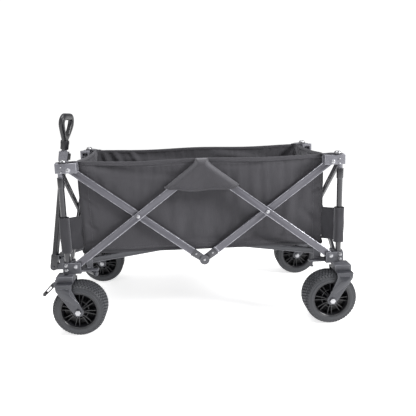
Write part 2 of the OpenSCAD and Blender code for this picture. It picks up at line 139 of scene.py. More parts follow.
class Finish(Wiring):
    def __init__(self, name, slot, fixed):
        self.material = bpy.data.materials.new(name)
        self.material.use_nodes = True
        super().__init__(self.material.node_tree)
        self.slot = slot
        self.shader = self.tree.nodes["Principled BSDF"]
        for key, value in fixed.items():
            self.shader.inputs[key].default_value = value

    def shade(self, inputs):
        for key, value in inputs.items():
            self.feed(self.shader.inputs[key], value)

    def objectPoint(self):
        return self.add("ShaderNodeTexCoord", out="Object")

    def grain(self, point, perMetre, detail=2.0, roughness=0.5):
        return self.add("ShaderNodeTexNoise", {"noise_dimensions": "3D"},
                        {"Vector": point, "Scale": perMetre, "Detail": detail, "Roughness": roughness})

    def blendColours(self, share, first, second):
        return self.add("ShaderNodeMix", {"data_type": "RGBA"}, {0: share, 6: first, 7: second}, out=2)

    def bump(self, height, strength, distance):
        return self.add("ShaderNodeBump", None, {"Strength": strength, "Distance": distance, "Height": height})


def tone(red, green, blue):
    return (red, green, blue, 1)


# finishes

def paintedMetal(name, slot, dark, light, wornAndHighlitEdge, dotsPerMetre, settings):
    finish = Finish(name, slot, {"Metallic": settings["metallic"], "Specular IOR Level": 0.5,
                                 "Coat Weight": settings["coat"], "Coat Roughness": 0.25})
    point = finish.objectPoint()
    clouds = finish.grain(point, 14, 3)
    dots = finish.add("ShaderNodeTexVoronoi", {"feature": "F1"}, {"Vector": point, "Scale": dotsPerMetre})
    speckle = finish.grain(point, dotsPerMetre * 1.4, 2)
    # edge mask from the bevel faces: edges lighten towards the edge colour, partly edge wear and partly a painted
    # highlight on the broken edges
    wear = finish.add("ShaderNodeAttribute", {"attribute_name": "wear"}, out="Fac")
    patches = finish.add("ShaderNodeValToRGB", {"stops": [(0.42, 0.0), (0.62, 1.0)]},
                         {0: finish.grain(point, 90, 3)})
    body = finish.blendColours((clouds * 0.7 + speckle * 0.5 - 0.1).clamped(), dark, light)
    colour = finish.blendColours((wear * (patches * 0.45 + 0.25)).clamped(), body, wornAndHighlitEdge)
    rough = settings["roughness"] + (clouds - 0.5) * 0.16 + speckle * 0.08 - wear * 0.08
    finish.shade({"Base Color": colour, "Roughness": rough,
                  "Normal": finish.bump(dots * 0.6 + speckle * 0.6, settings["bump"], 0.0004)})
    return finish


# the fifth colour of each finish is its edge colour: edge wear plus a painted highlight along the bevels
silverPaint = paintedMetal(
    "silverGreyPaint", "painted_steel", tone(0.074, 0.073, 0.086), tone(0.155, 0.153, 0.176),
    tone(0.62, 0.62, 0.68), 900, {"metallic": 0.55, "coat": 0.25, "roughness": 0.34, "bump": 0.35})
blackPaint = paintedMetal(
    "glossBlackPaint", "painted_steel", tone(0.014, 0.014, 0.017), tone(0.032, 0.032, 0.038),
    tone(0.2, 0.2, 0.23), 700, {"metallic": 0.35, "coat": 0.6, "roughness": 0.26, "bump": 0.2})
darkPaint = paintedMetal(
    "darkGreyPaint", "dark_paint", tone(0.030, 0.031, 0.038), tone(0.060, 0.062, 0.073),
    tone(0.26, 0.26, 0.29), 700, {"metallic": 0.35, "coat": 0.45, "roughness": 0.34, "bump": 0.3})
roughCasting = paintedMetal(
    "roughGreyCasting", "grey_plastic", tone(0.055, 0.056, 0.065), tone(0.10, 0.101, 0.115),
    tone(0.24, 0.24, 0.27), 420, {"metallic": 0.1, "coat": 0.05, "roughness": 0.5, "bump": 0.6})
paleCasting = paintedMetal(
    "paleGreyCasting", "grey_plastic", tone(0.115, 0.115, 0.131), tone(0.20, 0.20, 0.226),
    tone(0.46, 0.46, 0.50), 520, {"metallic": 0.15, "coat": 0.1, "roughness": 0.42, "bump": 0.4})


def mouldedPlastic(name, slot, dark, light, settings):
    finish = Finish(name, slot, {"Specular IOR Level": 0.5, "Coat Weight": settings["coat"],
                                 "Coat Roughness": 0.3})
    point = finish.objectPoint()
    clouds = finish.grain(point, 22, 3)
    texture = finish.grain(point, 1500, 2, 0.6)
    wear = finish.add("ShaderNodeAttribute", {"attribute_name": "wear"}, out="Fac")
    # edge mask: the bevelled edges are lightened, edge wear plus a painted highlight
    colour = finish.blendColours((clouds * 0.6 + texture * 0.4 + wear * 0.5).clamped(), dark, light)
    finish.shade({"Base Color": colour, "Roughness": settings["roughness"] + (clouds - 0.5) * 0.18,
                  "Normal": finish.bump(texture, settings["bump"], 0.0003)})
    return finish


blackPlastic = mouldedPlastic("blackMouldedPlastic", "black_plastic", tone(0.009, 0.009, 0.011),
                              tone(0.022, 0.022, 0.026), {"coat": 0.15, "roughness": 0.36, "bump": 0.35})
greyPlastic = mouldedPlastic("darkMouldedPlastic", "grey_plastic", tone(0.05, 0.051, 0.058),
                             tone(0.085, 0.086, 0.096), {"coat": 0.1, "roughness": 0.45, "bump": 0.5})


def tyreRubber():
    finish = Finish("tyreRubber", "tyre_rubber", {"Specular IOR Level": 0.5, "Coat Weight": 0.2,
                                                  "Coat Roughness": 0.35})
    point = finish.objectPoint()
    clouds, dust = finish.grain(point, 30, 4, 0.6), finish.grain(point, 260, 3, 0.6)
    tread = finish.add("ShaderNodeAttribute", {"attribute_name": "tread"}, out="Fac")
    colour = finish.blendColours((clouds * 0.5 + dust * 0.3 + tread * 0.35).clamped(),
                                 tone(0.016, 0.017, 0.021), tone(0.047, 0.049, 0.056))
    finish.shade({"Base Color": colour, "Roughness": 0.5 + clouds * 0.2 + tread * 0.12,
                  "Normal": finish.bump(dust, 0.3, 0.0006)})
    return finish


def brightSteel():
    finish = Finish("brightSteel", "bright_steel", {"Metallic": 1.0})
    point = finish.objectPoint()
    smear, fine = finish.grain(point, 60, 3), finish.grain(point, 900, 2)
    finish.shade({"Base Color": finish.blendColours(smear, tone(0.30, 0.305, 0.32), tone(0.56, 0.56, 0.58)),
                  "Roughness": 0.24 + smear * 0.14 + fine * 0.05, "Normal": finish.bump(fine, 0.08, 0.0003)})
    return finish


def wovenCloth(name, dark, light, threadPitch):
    finish = Finish(name, "charcoal_cloth", {"Specular IOR Level": 0.25, "Sheen Weight": 0.35,
                                             "Sheen Roughness": 0.5, "Sheen Tint": tone(0.8, 0.8, 0.85)})
    point = finish.add("ShaderNodeTexCoord", out="UV")
    across = finish.add("ShaderNodeSeparateXYZ", None, {0: point})
    up = across.other(1)
    turns = 2 * pi / threadPitch
    weave = (across * turns).sine() * (up * turns).sine() * 0.5 + 0.5
    ribs = (across * (turns / 2)).sine() * 0.5 + 0.5
    clouds = finish.grain(point, 11, 3, 0.55)
    slub = finish.add("ShaderNodeMapping", None, {"Vector": point, "Scale": (420, 26, 1)})
    threads = finish.grain(slub, 1, 2)
    colour = finish.blendColours((weave * 0.35 + threads * 0.35 + clouds * 0.5 - 0.1).clamped(), dark, light)
    finish.shade({"Base Color": colour, "Roughness": 0.78 + clouds * 0.12,
                  "Normal": finish.bump(weave * 0.7 + ribs * 0.2 + threads * 0.4, 0.35, 0.0005)})
    return finish


tyreFinish, steelFinish = tyreRubber(), brightSteel()
bagCloth = wovenCloth("charcoalCloth", tone(0.027, 0.0262, 0.030), tone(0.074, 0.072, 0.080), 0.0018)
webbing = wovenCloth("charcoalWebbing", tone(0.017, 0.017, 0.020), tone(0.048, 0.047, 0.053), 0.0024)
threadFinish = wovenCloth("sewingThread", tone(0.06, 0.058, 0.066), tone(0.14, 0.138, 0.152), 0.0008)
print("finishes made")


# making and placing pieces

def solidMesh(name, verts, faces, uvs=None):
    mesh = bpy.data.meshes.new(name)
    mesh.from_pydata([tuple(v) for v in verts], [], faces)
    if uvs is not None:
        layer = mesh.uv_layers.new(name="metres")
        for loop in mesh.loops:
            layer.data[loop.index].uv = uvs[loop.vertex_index]
    return mesh


def cleanMesh(mesh, sharpAngle=32):
    work = bmesh.new()
    work.from_mesh(mesh)
    bmesh.ops.remove_doubles(work, verts=work.verts, dist=weldGap)
    bmesh.ops.recalc_face_normals(work, faces=work.faces)
    work.to_mesh(mesh)
    work.free()
    mesh.shade_smooth()
    mesh.set_sharp_from_angle(angle=radians(sharpAngle))
    return mesh


def joinMeshes(name, meshes):
    work = bmesh.new()
    for mesh in meshes:
        work.from_mesh(mesh)
    joined = bpy.data.meshes.new(name)
    work.to_mesh(joined)
    work.free()
    joined.shade_smooth()
    joined.set_sharp_from_angle(angle=radians(32))
    return joined


def movedMesh(mesh, matrix):
    copy = mesh.copy()
    copy.transform(matrix)
    if matrix.determinant() < 0:
        copy.flip_normals()
    return copy


def addPiece(name, mesh, finish, body, standsFor=()):
    mesh.materials.clear()
    mesh.materials.append(finish.material)
    piece = bpy.data.objects.new(name, mesh)
    bpy.context.scene.collection.objects.link(piece)
    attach(piece, body)
    if standsFor:
        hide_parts(*standsFor)
    return piece


def turnedMesh(name, profile, steps, closed=True):  # profile is (radius, height along Y)
    verts, faces, count = [], [], len(profile)
    for step in range(steps):
        angle = 2 * pi * step / steps
        verts += [(radius * cos(angle), along, radius * sin(angle)) for radius, along in profile]
    for step in range(steps):
        following = (step + 1) % steps
        for k in range(count if closed else count - 1):
            j = (k + 1) % count
            faces.append((step * count + k, step * count + j, following * count + j, following * count + k))
    return cleanMesh(solidMesh(name, verts, faces))


def prismMesh(name, outline, low, high):  # outline is (x, z), standing from low to high along Y
    count = len(outline)
    verts = [(x, low, z) for x, z in outline] + [(x, high, z) for x, z in outline]
    faces = [tuple(range(count)), tuple(range(2 * count - 1, count - 1, -1))]
    faces += [(k, (k + 1) % count, count + (k + 1) % count, count + k) for k in range(count)]
    return cleanMesh(solidMesh(name, verts, faces))


def bevelled(mesh, width, segments=2, limit=35):
    work = bmesh.new()
    work.from_mesh(mesh)
    # the bevel faces are marked for the edge colour, which paints wear and a highlight on the edges
    edgeWearAndHighlightLayer = work.faces.layers.float.new("wear")
    edges = [e for e in work.edges if len(e.link_faces) == 2 and e.calc_face_angle(0) > radians(limit)]
    made = bmesh.ops.bevel(work, geom=edges, offset=width, offset_type="OFFSET", segments=segments,
                           profile=0.6, affect="EDGES", clamp_overlap=False)
    for face in made["faces"]:
        face[edgeWearAndHighlightLayer] = 1.0
    work.to_mesh(mesh)
    work.free()
    mesh.shade_smooth()
    mesh.set_sharp_from_angle(angle=radians(50))
    return mesh


def sweptMesh(name, rings, capped=True):  # rings is a list of equal closed rings of points
    count = len(rings[0])
    verts = [p for ring in rings for p in ring]
    faces = []
    for r in range(len(rings) - 1):
        for k in range(count):
            j = (k + 1) % count
            faces.append((r * count + k, r * count + j, (r + 1) * count + j, (r + 1) * count + k))
    if capped:
        faces += [tuple(range(count)), tuple(range(len(verts) - 1, len(verts) - count - 1, -1))]
    return solidMesh(name, verts, faces)


# geometry trees for what repeats

class Tree(Wiring):
    def __init__(self, name, inlets):
        super().__init__(bpy.data.node_groups.new(name, "GeometryNodeTree"))
        face = self.tree.interface
        face.new_socket("Geometry", in_out="INPUT", socket_type="NodeSocketGeometry")
        shared = [("Template", "NodeSocketObject", None), ("Material", "NodeSocketMaterial", None)]
        for inletName, kind, value in inlets + shared:
            socket = face.new_socket(inletName, in_out="INPUT", socket_type=kind)
            if value is not None:
                socket.default_value = value
        face.new_socket("Geometry", in_out="OUTPUT", socket_type="NodeSocketGeometry")
        self.entry = self.tree.nodes.new("NodeGroupInput")
        self.leave = self.tree.nodes.new("NodeGroupOutput")

    def inlet(self, name):
        return Signal(self, self.entry, name)

    def finish(self, instances):
        real = self.add("GeometryNodeRealizeInstances", None, {0: instances})
        painted = self.add("GeometryNodeSetMaterial", None,
                           {"Geometry": real, "Material": self.inlet("Material")})
        self.tree.links.new(painted.socket, self.leave.inputs[0])
        return self.tree

    def template(self):
        return self.add("GeometryNodeObjectInfo", None, {"Object": self.inlet("Template")}, out="Geometry")


def makeHubTree():  # copies of a template, evenly spaced around the Y axis
    made = Tree("aroundTheHub", [("Count", "NodeSocketInt", 12), ("Radius", "NodeSocketFloat", 0.05),
                                 ("Offset", "NodeSocketFloat", 0.0), ("Stagger", "NodeSocketFloat", 0.0)])
    line = made.add("GeometryNodeMeshLine", None, {"Count": made.inlet("Count")})
    angle = (made.add("GeometryNodeInputIndex") + made.inlet("Stagger")) / made.inlet("Count") * (2 * pi)
    spot = made.add("ShaderNodeCombineXYZ", None, {0: angle.cosine() * made.inlet("Radius"),
                                                  1: made.inlet("Offset"),
                                                  2: angle.sine() * made.inlet("Radius")})
    points = made.add("GeometryNodeSetPosition", None, {"Geometry": line, "Position": spot})
    turn = made.add("FunctionNodeEulerToRotation", None,
                    {0: made.add("ShaderNodeCombineXYZ", None, {1: 0.0 - angle})})
    return made.finish(made.add("GeometryNodeInstanceOnPoints", None,
                                {"Points": points, "Instance": made.template(), "Rotation": turn}))


def makeSeamTree():  # copies of a stitch along a line of edges
    made = Tree("alongTheSeam", [("Spacing", "NodeSocketFloat", 0.004), ("Stitch", "NodeSocketFloat", 1.0)])
    curve = made.add("GeometryNodeMeshToCurve", None, {0: made.inlet("Geometry")})
    points = made.add("GeometryNodeCurveToPoints", {"mode": "LENGTH"},
                      {"Curve": curve, "Length": made.inlet("Spacing")})
    return made.finish(made.add("GeometryNodeInstanceOnPoints", None,
                                {"Points": points, "Instance": made.template(),
                                 "Rotation": points.other("Rotation"), "Scale": made.inlet("Stitch")}))


def makeSpotTree():  # copies of a fastener on points, each facing its point's aim
    made = Tree("onTheSpots", [("Size", "NodeSocketFloat", 1.0)])
    aim = made.add("GeometryNodeInputNamedAttribute", {"data_type": "FLOAT_VECTOR"}, {"Name": "aim"})
    turn = made.add("FunctionNodeAlignRotationToVector", {"axis": "Y"}, {"Vector": aim})
    return made.finish(made.add("GeometryNodeInstanceOnPoints", None,
                                {"Points": made.inlet("Geometry"), "Instance": made.template(),
                                 "Rotation": turn, "Scale": made.inlet("Size")}))


hubTree, seamTree, spotTree = makeHubTree(), makeSeamTree(), makeSpotTree()


def grow(name, tree, template, finish, values, base=None):
    pattern = bpy.data.objects.new(name + "Template", template)
    carrier = bpy.data.objects.new(name, base or bpy.data.meshes.new(name))
    bpy.context.scene.collection.objects.link(pattern)
    bpy.context.scene.collection.objects.link(carrier)
    modifier = carrier.modifiers.new("grow", "NODES")
    modifier.node_group = tree
    for socket in tree.interface.items_tree:
        if socket.in_out == "INPUT" and socket.name in values:
            modifier[socket.identifier] = values[socket.name]
        elif socket.in_out == "INPUT" and socket.name == "Template":
            modifier[socket.identifier] = pattern
        elif socket.in_out == "INPUT" and socket.name == "Material":
            modifier[socket.identifier] = finish.material
    bpy.context.view_layer.update()
    graph = bpy.context.evaluated_depsgraph_get()
    mesh = bpy.data.meshes.new_from_object(carrier.evaluated_get(graph), depsgraph=graph)
    bpy.data.objects.remove(carrier)
    bpy.data.objects.remove(pattern)
    return mesh


def spots(name, places, aims):
    mesh = bpy.data.meshes.new(name)
    mesh.from_pydata([tuple(p) for p in places], [], [])
    attribute = mesh.attributes.new("aim", "FLOAT_VECTOR", "POINT")
    for k, aim in enumerate(aims):
        attribute.data[k].vector = aim
    return mesh


print("trees made")


# metal and moulded pieces that keep the frame's shape, with their edges broken

edgeWidths = {"arm": 0.0019, "cast": 0.0014, "small": 0.0006, "tube": 0.0007}


bodyNodes = frame["record"]["behaviour"]["bodies"]

def softenNode(node, finish, width):
    body = next(b for b in bodyNodes if node in bodyNodes[b])
    mesh = bpy.data.meshes.new(node + "Soft")
    work = bmesh.new()
    work.from_mesh(frame["nodes"][node].data)
    bmesh.ops.remove_doubles(work, verts=work.verts, dist=weldGap)
    bmesh.ops.dissolve_limit(work, angle_limit=radians(0.6), verts=work.verts, edges=work.edges)
    work.to_mesh(mesh)
    work.free()
    return addPiece(node + "_finished", bevelled(mesh, width), finish, body, (node,))

for end in ends:
    for side in sides:
        softenNode(f"lower_corner_{end}_{side}", roughCasting, edgeWidths["cast"])
        softenNode(f"upper_corner_{end}_{side}", paleCasting, edgeWidths["cast"])
        softenNode(f"outer_post_{end}_{side}", blackPaint, edgeWidths["tube"])
        softenNode(f"lower_arm_{end}_{side}", silverPaint, edgeWidths["arm"])
        softenNode(f"upper_arm_{end}_{side}", silverPaint, edgeWidths["arm"])
        softenNode(f"{end}_cross_arm_{side}", blackPaint, edgeWidths["arm"])
        softenNode(f"floor_strut_{end}_{side}", darkPaint, edgeWidths["arm"])
        softenNode(f"axle_{end}_{side}", steelFinish, edgeWidths["small"])
for side in sides:
    softenNode(f"castor_fork_{side}", darkPaint, edgeWidths["tube"])
    softenNode(f"rear_fork_{side}", darkPaint, edgeWidths["tube"])
    softenNode(f"brake_pedal_{side}", blackPlastic, edgeWidths["tube"])
    softenNode(f"draw_link_{side}", darkPaint, edgeWidths["arm"])
softenNode("floor_hub", darkPaint, edgeWidths["tube"])
softenNode("handle_bracket", darkPaint, edgeWidths["tube"])
outerTube = softenNode("handle_outer_tube", blackPaint, edgeWidths["tube"])
outerTube.data.materials.append(paleCasting.material)  # the lock collar at the tube's top gets the pale finish: a satin grey, made pale to paint in the bright reflection on its face
collarFrom = pivot("handle_swing").z + 0.412
for face in outerTube.data.polygons:
    if face.center.z > collarFrom:
        face.material_index = 1
softenNode("handle_inner_tube", paleCasting, edgeWidths["small"])
softenNode("handle_lock_lever", blackPlastic, edgeWidths["tube"])
print("metalwork finished")


# wheels

wheel = {"steps": 96, "turned": {"front": 11, "rear": 4}, "crown": 0.0861,
         "blocks": 52, "blockHigh": 0.0036, "block": (0.0128, 0.0078), "blockTaper": 0.22,
         "blockRadius": 0.0878, "rows": ((-0.0245, 0.0), (-0.0082, 0.5), (0.0082, 0.0), (0.0245, 0.5)),
         "lug": (0.0120, 0.0064), "lugTaper": 0.25, "lugLean": 38, "lugRadius": 0.0842, "lugOffset": 0.0362,
         "ribs": 8, "ribHalf": 0.0011, "ribPair": 0.16}


def blockMesh(name, size, taper, tilt=0.0):  # a chamfered block: X out from the hub, Y across, Z round
    high, wide, long = (s / 2 for s in size)
    verts = []
    for x, share in ((-high, 1.0), (high * 0.55, 1.0 - taper * 0.4), (high, 1.0 - taper)):
        verts += [(x, sy * wide * share, sz * long * share) for sy, sz in ((-1, -1), (1, -1), (1, 1), (-1, 1))]
    faces = [(3, 2, 1, 0), (8, 9, 10, 11)]
    for ring in (0, 4):
        faces += [(ring + k, ring + (k + 1) % 4, ring + 4 + (k + 1) % 4, ring + 4 + k) for k in range(4)]
    mesh = solidMesh(name, verts, faces)
    mesh.transform(Matrix.Rotation(tilt, 4, "Z"))
    return cleanMesh(mesh)


def tyreMesh():
    halfSide = [(0.0615, -0.037), (0.0622, -0.0402), (0.0645, -0.0424), (0.0680, -0.0430), (0.0715, -0.0428),
                (0.0728, -0.0420), (0.0736, -0.0412), (0.0748, -0.0410), (0.0760, -0.0414), (0.0785, -0.0408),
                (0.0812, -0.0392), (0.0836, -0.0366), (0.0850, -0.0330), (0.0857, -0.0280), (0.0860, -0.0200),
                (0.0861, -0.0100)]
    profile = halfSide + [(wheel["crown"], 0.0)] + [(r, -y) for r, y in reversed(halfSide)]
    meshes = [turnedMesh("carcass", profile, wheel["steps"])]
    flat = blockMesh("treadBlock", (wheel["blockHigh"], *wheel["block"]), wheel["blockTaper"])
    for row, (offset, stagger) in enumerate(wheel["rows"]):
        meshes.append(grow(f"treadRow{row}", hubTree, flat, tyreFinish, {
            "Count": wheel["blocks"], "Radius": wheel["blockRadius"], "Offset": offset, "Stagger": stagger}))
    for row, (sign, stagger) in enumerate(((-1, 0.5), (1, 0.0))):
        lug = blockMesh("shoulderLug", (wheel["blockHigh"], *wheel["lug"]), wheel["lugTaper"],
                        sign * radians(wheel["lugLean"]))
        meshes.append(grow(f"shoulder{row}", hubTree, lug, tyreFinish, {
            "Count": wheel["blocks"], "Radius": wheel["lugRadius"], "Offset": sign * wheel["lugOffset"],
            "Stagger": stagger}))
    joined = joinMeshes("tyre", meshes)
    tread = joined.attributes.new("tread", "FLOAT", "POINT")
    tread.data.foreach_set("value", [min(1.0, max(0.0, (hypot(v.co.x, v.co.z) - 0.083) / 0.004))
                                     for v in joined.vertices])
    return joined


def rimMesh():
    dish = [(0.0170, 0.0455), (0.0178, 0.0448), (0.0182, 0.0300), (0.0200, 0.0110), (0.0240, 0.0070),
            (0.0480, 0.0075), (0.0540, 0.0110), (0.0565, 0.0200), (0.0575, 0.0340), (0.0585, 0.0392),
            (0.0605, 0.0412), (0.0632, 0.0418), (0.0645, 0.0408), (0.0640, 0.0392), (0.0618, 0.0380)]
    bore = [(0.0064, 0.0455), (0.0140, 0.0460)]
    outer = bore + dish
    profile = outer + [(r, -y) for r, y in reversed(outer)]
    meshes = [turnedMesh("rimShell", profile, wheel["steps"])]
    ribOutline = [(0.0170, 0.0060), (0.0570, 0.0060), (0.0572, 0.0330), (0.0540, 0.0310), (0.0300, 0.0330),
                  (0.0200, 0.0400), (0.0170, 0.0410)]
    for face in (1, -1):
        count = len(ribOutline)
        verts = [(x, face * y, z) for z in (-wheel["ribHalf"], wheel["ribHalf"]) for x, y in ribOutline]
        faces = [tuple(range(count)), tuple(range(2 * count - 1, count - 1, -1))]
        faces += [(k, (k + 1) % count, count + (k + 1) % count, count + k) for k in range(count)]
        rib = cleanMesh(solidMesh("rib", verts, faces))
        for pair in (-wheel["ribPair"], wheel["ribPair"]):
            meshes.append(grow(f"ribs{face}{pair}", hubTree, rib, blackPlastic, {
                "Count": wheel["ribs"], "Radius": 0.0, "Offset": 0.0, "Stagger": pair}))
        ring = [(r, face * y) for r, y in ((0.0300, 0.0065), (0.0300, 0.0290), (0.0320, 0.0290), (0.0320, 0.0065))]
        meshes.append(turnedMesh("stiffeningRing", ring, wheel["steps"]))
    return joinMeshes("rim", meshes)


tyreShape, rimShape = tyreMesh(), rimMesh()
for end in ends:
    for side in sides:
        low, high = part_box(f"tyre_{end}_{side}")
        centre = (low + high) / 2
        spun = Matrix.Translation(centre) @ Matrix.Rotation(radians(wheel["turned"][end]), 4, "Y")
        body = f"wheel_{end}_{side}"
        addPiece(f"tyre_{end}_{side}_treaded", movedMesh(tyreShape, spun), tyreFinish, body,
                 (f"tyre_{end}_{side}",))
        addPiece(f"rim_{end}_{side}_ribbed", movedMesh(rimShape, spun), blackPlastic, body,
                 (f"rim_{end}_{side}",))
print("wheels made")


# raised panels on the forks' legs

fork = {"panelHigh": 0.0013, "sunk": 0.0004, "cornerRadius": 0.004, "cornerSteps": 5, "crown": 0.043, "top": 0.187}


def roundedOutline(corners, radius, steps):
    points, count = [], len(corners)
    for k in range(count):
        before, here, after = (Vector(corners[(k + d) % count]) for d in (-1, 0, 1))
        inward, outward = (before - here).normalized(), (after - here).normalized()
        for s in range(steps + 1):
            t = s / steps
            first, last = here + inward * radius, here + outward * radius
            points.append((1 - t) ** 2 * first + 2 * t * (1 - t) * here + t * t * last)
    return [(p.x, p.y) for p in points]


for end in ends:
    for side in sides:
        hub = pivot(f"wheel_spin_{end}_{side}")
        forkLow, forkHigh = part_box(f"{'castor_fork' if end == 'front' else 'rear_fork'}_{side}")
        sign = alongSign[end]
        crown, top = hub.x + sign * fork["crown"], fork["top"]  # the fork's own middle and its shoulder
        panel = [(crown - 0.0195, top - 0.012), (crown + 0.0195, top - 0.012),
                 (crown + sign * 0.0175, top - 0.036), (hub.x + sign * 0.0125, hub.z + 0.026),
                 (hub.x - sign * 0.0085, hub.z + 0.028), (crown - sign * 0.0205, top - 0.034)]
        if sign < 0:
            panel[0], panel[1] = panel[1], panel[0]
        outline = roundedOutline(panel, fork["cornerRadius"], fork["cornerSteps"])
        legs = []
        for face, reach in ((forkLow.y, -1), (forkHigh.y, 1)):
            legs.append(prismMesh("panel", outline, face - fork["sunk"] * reach,
                                  face + fork["panelHigh"] * reach))
        body = f"castor_{side}" if end == "front" else f"frame_rear_{side}"
        addPiece(f"fork_panels_{end}_{side}",
                 bevelled(joinMeshes("panels", legs), edgeWidths["small"], 1, 60), darkPaint, body)
print("fork panels made")


# fasteners

def domeMesh(name, radius, high, recess):
    profile = [(0.0, 0.0), (radius, 0.0), (radius, high * 0.18), (radius * 0.94, high * 0.5),
               (radius * 0.78, high * 0.82), (radius * 0.5, high * 0.98)]
    profile += [(recess, high), (recess * 0.96, high * 0.55), (0.0, high * 0.5)]
    return turnedMesh(name, profile, 28, False)


def acornMesh(name, radius, high):
    hexagon = [(radius * cos(k * pi / 3), radius * sin(k * pi / 3)) for k in range(6)]
    base = bevelled(prismMesh(name + "Hex", hexagon, 0.0, high * 0.45), 0.0004, 1)
    profile = [(0.0, 0.44), (0.82, 0.44), (0.8, 0.6), (0.62, 0.85), (0.3, 0.98), (0.0, 1.0)]
    dome = turnedMesh(name + "Dome", [(radius * r, high * y) for r, y in profile], 24, False)
    return joinMeshes(name, [base, dome])


rivetCap = domeMesh("rivetCap", 0.0052, 0.0016, 0.0018)
domeScrew = domeMesh("domeScrew", 0.0118, 0.0085, 0.0042)
smallScrew = domeMesh("smallScrew", 0.0036, 0.0020, 0.0014)
acornNut = acornMesh("acornNut", 0.0066, 0.0100)

fastener = {"halfRun": 0.220, "halfRise": 0.165, "faceY": 0.262, "headY": 0.265, "rivetSize": 1.15,
            "nutOut": 0.031, "nutRises": (0.006, -0.010), "screwOut": 0.022, "screwRises": (0.010, -0.006),
            "screwSunk": 0.0005, "screwSize": 0.8, "topOut": 0.017, "topY": 0.2515, "topHigh": 0.0035}

def fasten(name, template, places, aim, body, size=1.0):
    mesh = grow(name + "Grown", spotTree, template, steelFinish, {"Size": size},
                spots(name + "Spots", places, [aim] * len(places)))
    addPiece(name, mesh, steelFinish, body)

for side in sides:
    across = acrossSign[side]
    out = Vector((0, across, 0))
    for end in ends:
        sign, corner = alongSign[end], f"{end}_{side}"
        crossing = pivot(f"fold_upper_arm_front_{side}" if end == "front" else f"fold_lower_arm_rear_{side}")
        armLow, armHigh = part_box(f"upper_arm_{end}_{side}")
        armFace = armHigh.y if side == "right" else armLow.y
        cornerX, headY = crossing.x + sign * fastener["halfRun"], across * fastener["headY"]
        lowerZ, upperZ = crossing.z - fastener["halfRise"], crossing.z + fastener["halfRise"]
        nuts = [Vector((cornerX + sign * fastener["nutOut"], across * fastener["faceY"], lowerZ + rise))
                for rise in fastener["nutRises"]]
        screwY = headY - across * fastener["screwSunk"]
        screws = [Vector((cornerX + sign * fastener["screwOut"], screwY, upperZ + rise))
                  for rise in fastener["screwRises"]]
        topScrew = Vector((cornerX + sign * fastener["topOut"], across * fastener["topY"],
                           wallHigh.z + fastener["topHigh"]))
        fasten(f"arm_rivets_{corner}", rivetCap, [Vector((crossing.x, armFace, crossing.z))], out,
               f"upper_arm_{corner}")
        fasten(f"corner_rivet_low_{corner}", rivetCap, [Vector((cornerX, headY, lowerZ))], out,
               f"frame_{corner}", fastener["rivetSize"])
        fasten(f"corner_nuts_{corner}", acornNut, nuts, out, f"frame_{corner}")
        fasten(f"corner_rivet_high_{corner}", rivetCap, [Vector((cornerX, headY, upperZ))], out,
               f"top_{corner}", fastener["rivetSize"])
        fasten(f"corner_screws_{corner}", smallScrew, screws, out, f"top_{corner}", fastener["screwSize"])
        fasten(f"dome_screw_{corner}", domeScrew, [topScrew], Vector((0, 0, 1)), f"top_{corner}")
print("fasteners made")


# dark end caps where the arms meet at the bottom

cap = {"from": 0.010, "to": 0.050, "half": 0.0142, "narrow": 0.8, "thick": 0.0009, "sunk": 0.0002,
       "edge": 0.0004, "screwAt": 0.036, "screwSize": 0.9, "boss": 0.0168, "bossHigh": 0.0048,
       "dimple": 0.0012, "face": 0.2400}


def outerFace(node, centre):  # how far out the arm's own end stands
    reach = [abs(v.co.y) for v in frame["nodes"][node].data.vertices
             if 0.0120 < hypot(v.co.x - centre.x, v.co.z - centre.z) < 0.0145]
    return max(reach)


for side in sides:
    sign = acrossSign[side]
    hinge = pivot(f"fold_upper_arm_rear_{side}")
    for end in ends:
        lean, arm = alongSign[end], f"upper_arm_{end}_{side}"
        narrow = cap["half"] * cap["narrow"]
        outline = [(cap["from"], -narrow), (cap["to"], -cap["half"]), (cap["to"], cap["half"]),
                   (cap["from"], narrow)]
        run, rise = 0.8 * lean, 0.6  # the arm's direction
        placed = [(hinge.x + a * run - b * rise * lean, hinge.z + a * rise + b * 0.8) for a, b in outline]
        face = outerFace(arm, hinge)
        outside = sign * (face + cap["thick"])
        plate = prismMesh("endCap", placed, sign * (face - cap["sunk"]), outside)
        addPiece(f"arm_end_cap_{end}_{side}", bevelled(plate, cap["edge"], 1), greyPlastic, arm)
        screwAt = Vector((hinge.x + cap["screwAt"] * run, outside, hinge.z + cap["screwAt"] * rise))
        fasten(f"cap_screw_{end}_{side}", smallScrew, [screwAt], Vector((0, sign, 0)), arm, cap["screwSize"])
    seat = cap["bossHigh"] - cap["dimple"]
    boss = turnedMesh("boss", [(0.0, 0.0), (cap["boss"], 0.0), (cap["boss"], cap["bossHigh"] * 0.75),
                               (cap["boss"] * 0.93, cap["bossHigh"]), (0.0052, cap["bossHigh"]),
                               (0.0050, seat), (0.0, seat)], 40, False)
    rivet = movedMesh(domeMesh("bossRivet", 0.0042, 0.0016, 0.0015), Matrix.Translation((0, seat, 0)))
    spin = Matrix.Rotation(radians(180), 4, "X") if sign < 0 else Matrix()
    spot = Matrix.Translation((hinge.x, sign * cap["face"], hinge.z)) @ spin
    addPiece(f"hinge_boss_{side}", movedMesh(boss, spot), greyPlastic, f"upper_arm_front_{side}")
    addPiece(f"hinge_rivet_{side}", movedMesh(rivet, spot), steelFinish, f"upper_arm_front_{side}")
print("hinge caps made")


# handle grip

grip = {"base": 0.484, "thick": 0.0195, "turn": radians(-10), "lean": radians(9.5), "around": 72,
        "section": 24, "bend": 2 / 2.7, "outer": (0.034, 0.018, -1), "inner": (0.009, 0.004, 0.036)}
handleFrame = Matrix.Translation(pivot("handle_swing")) @ Matrix.Rotation(grip["lean"], 4, "Y")


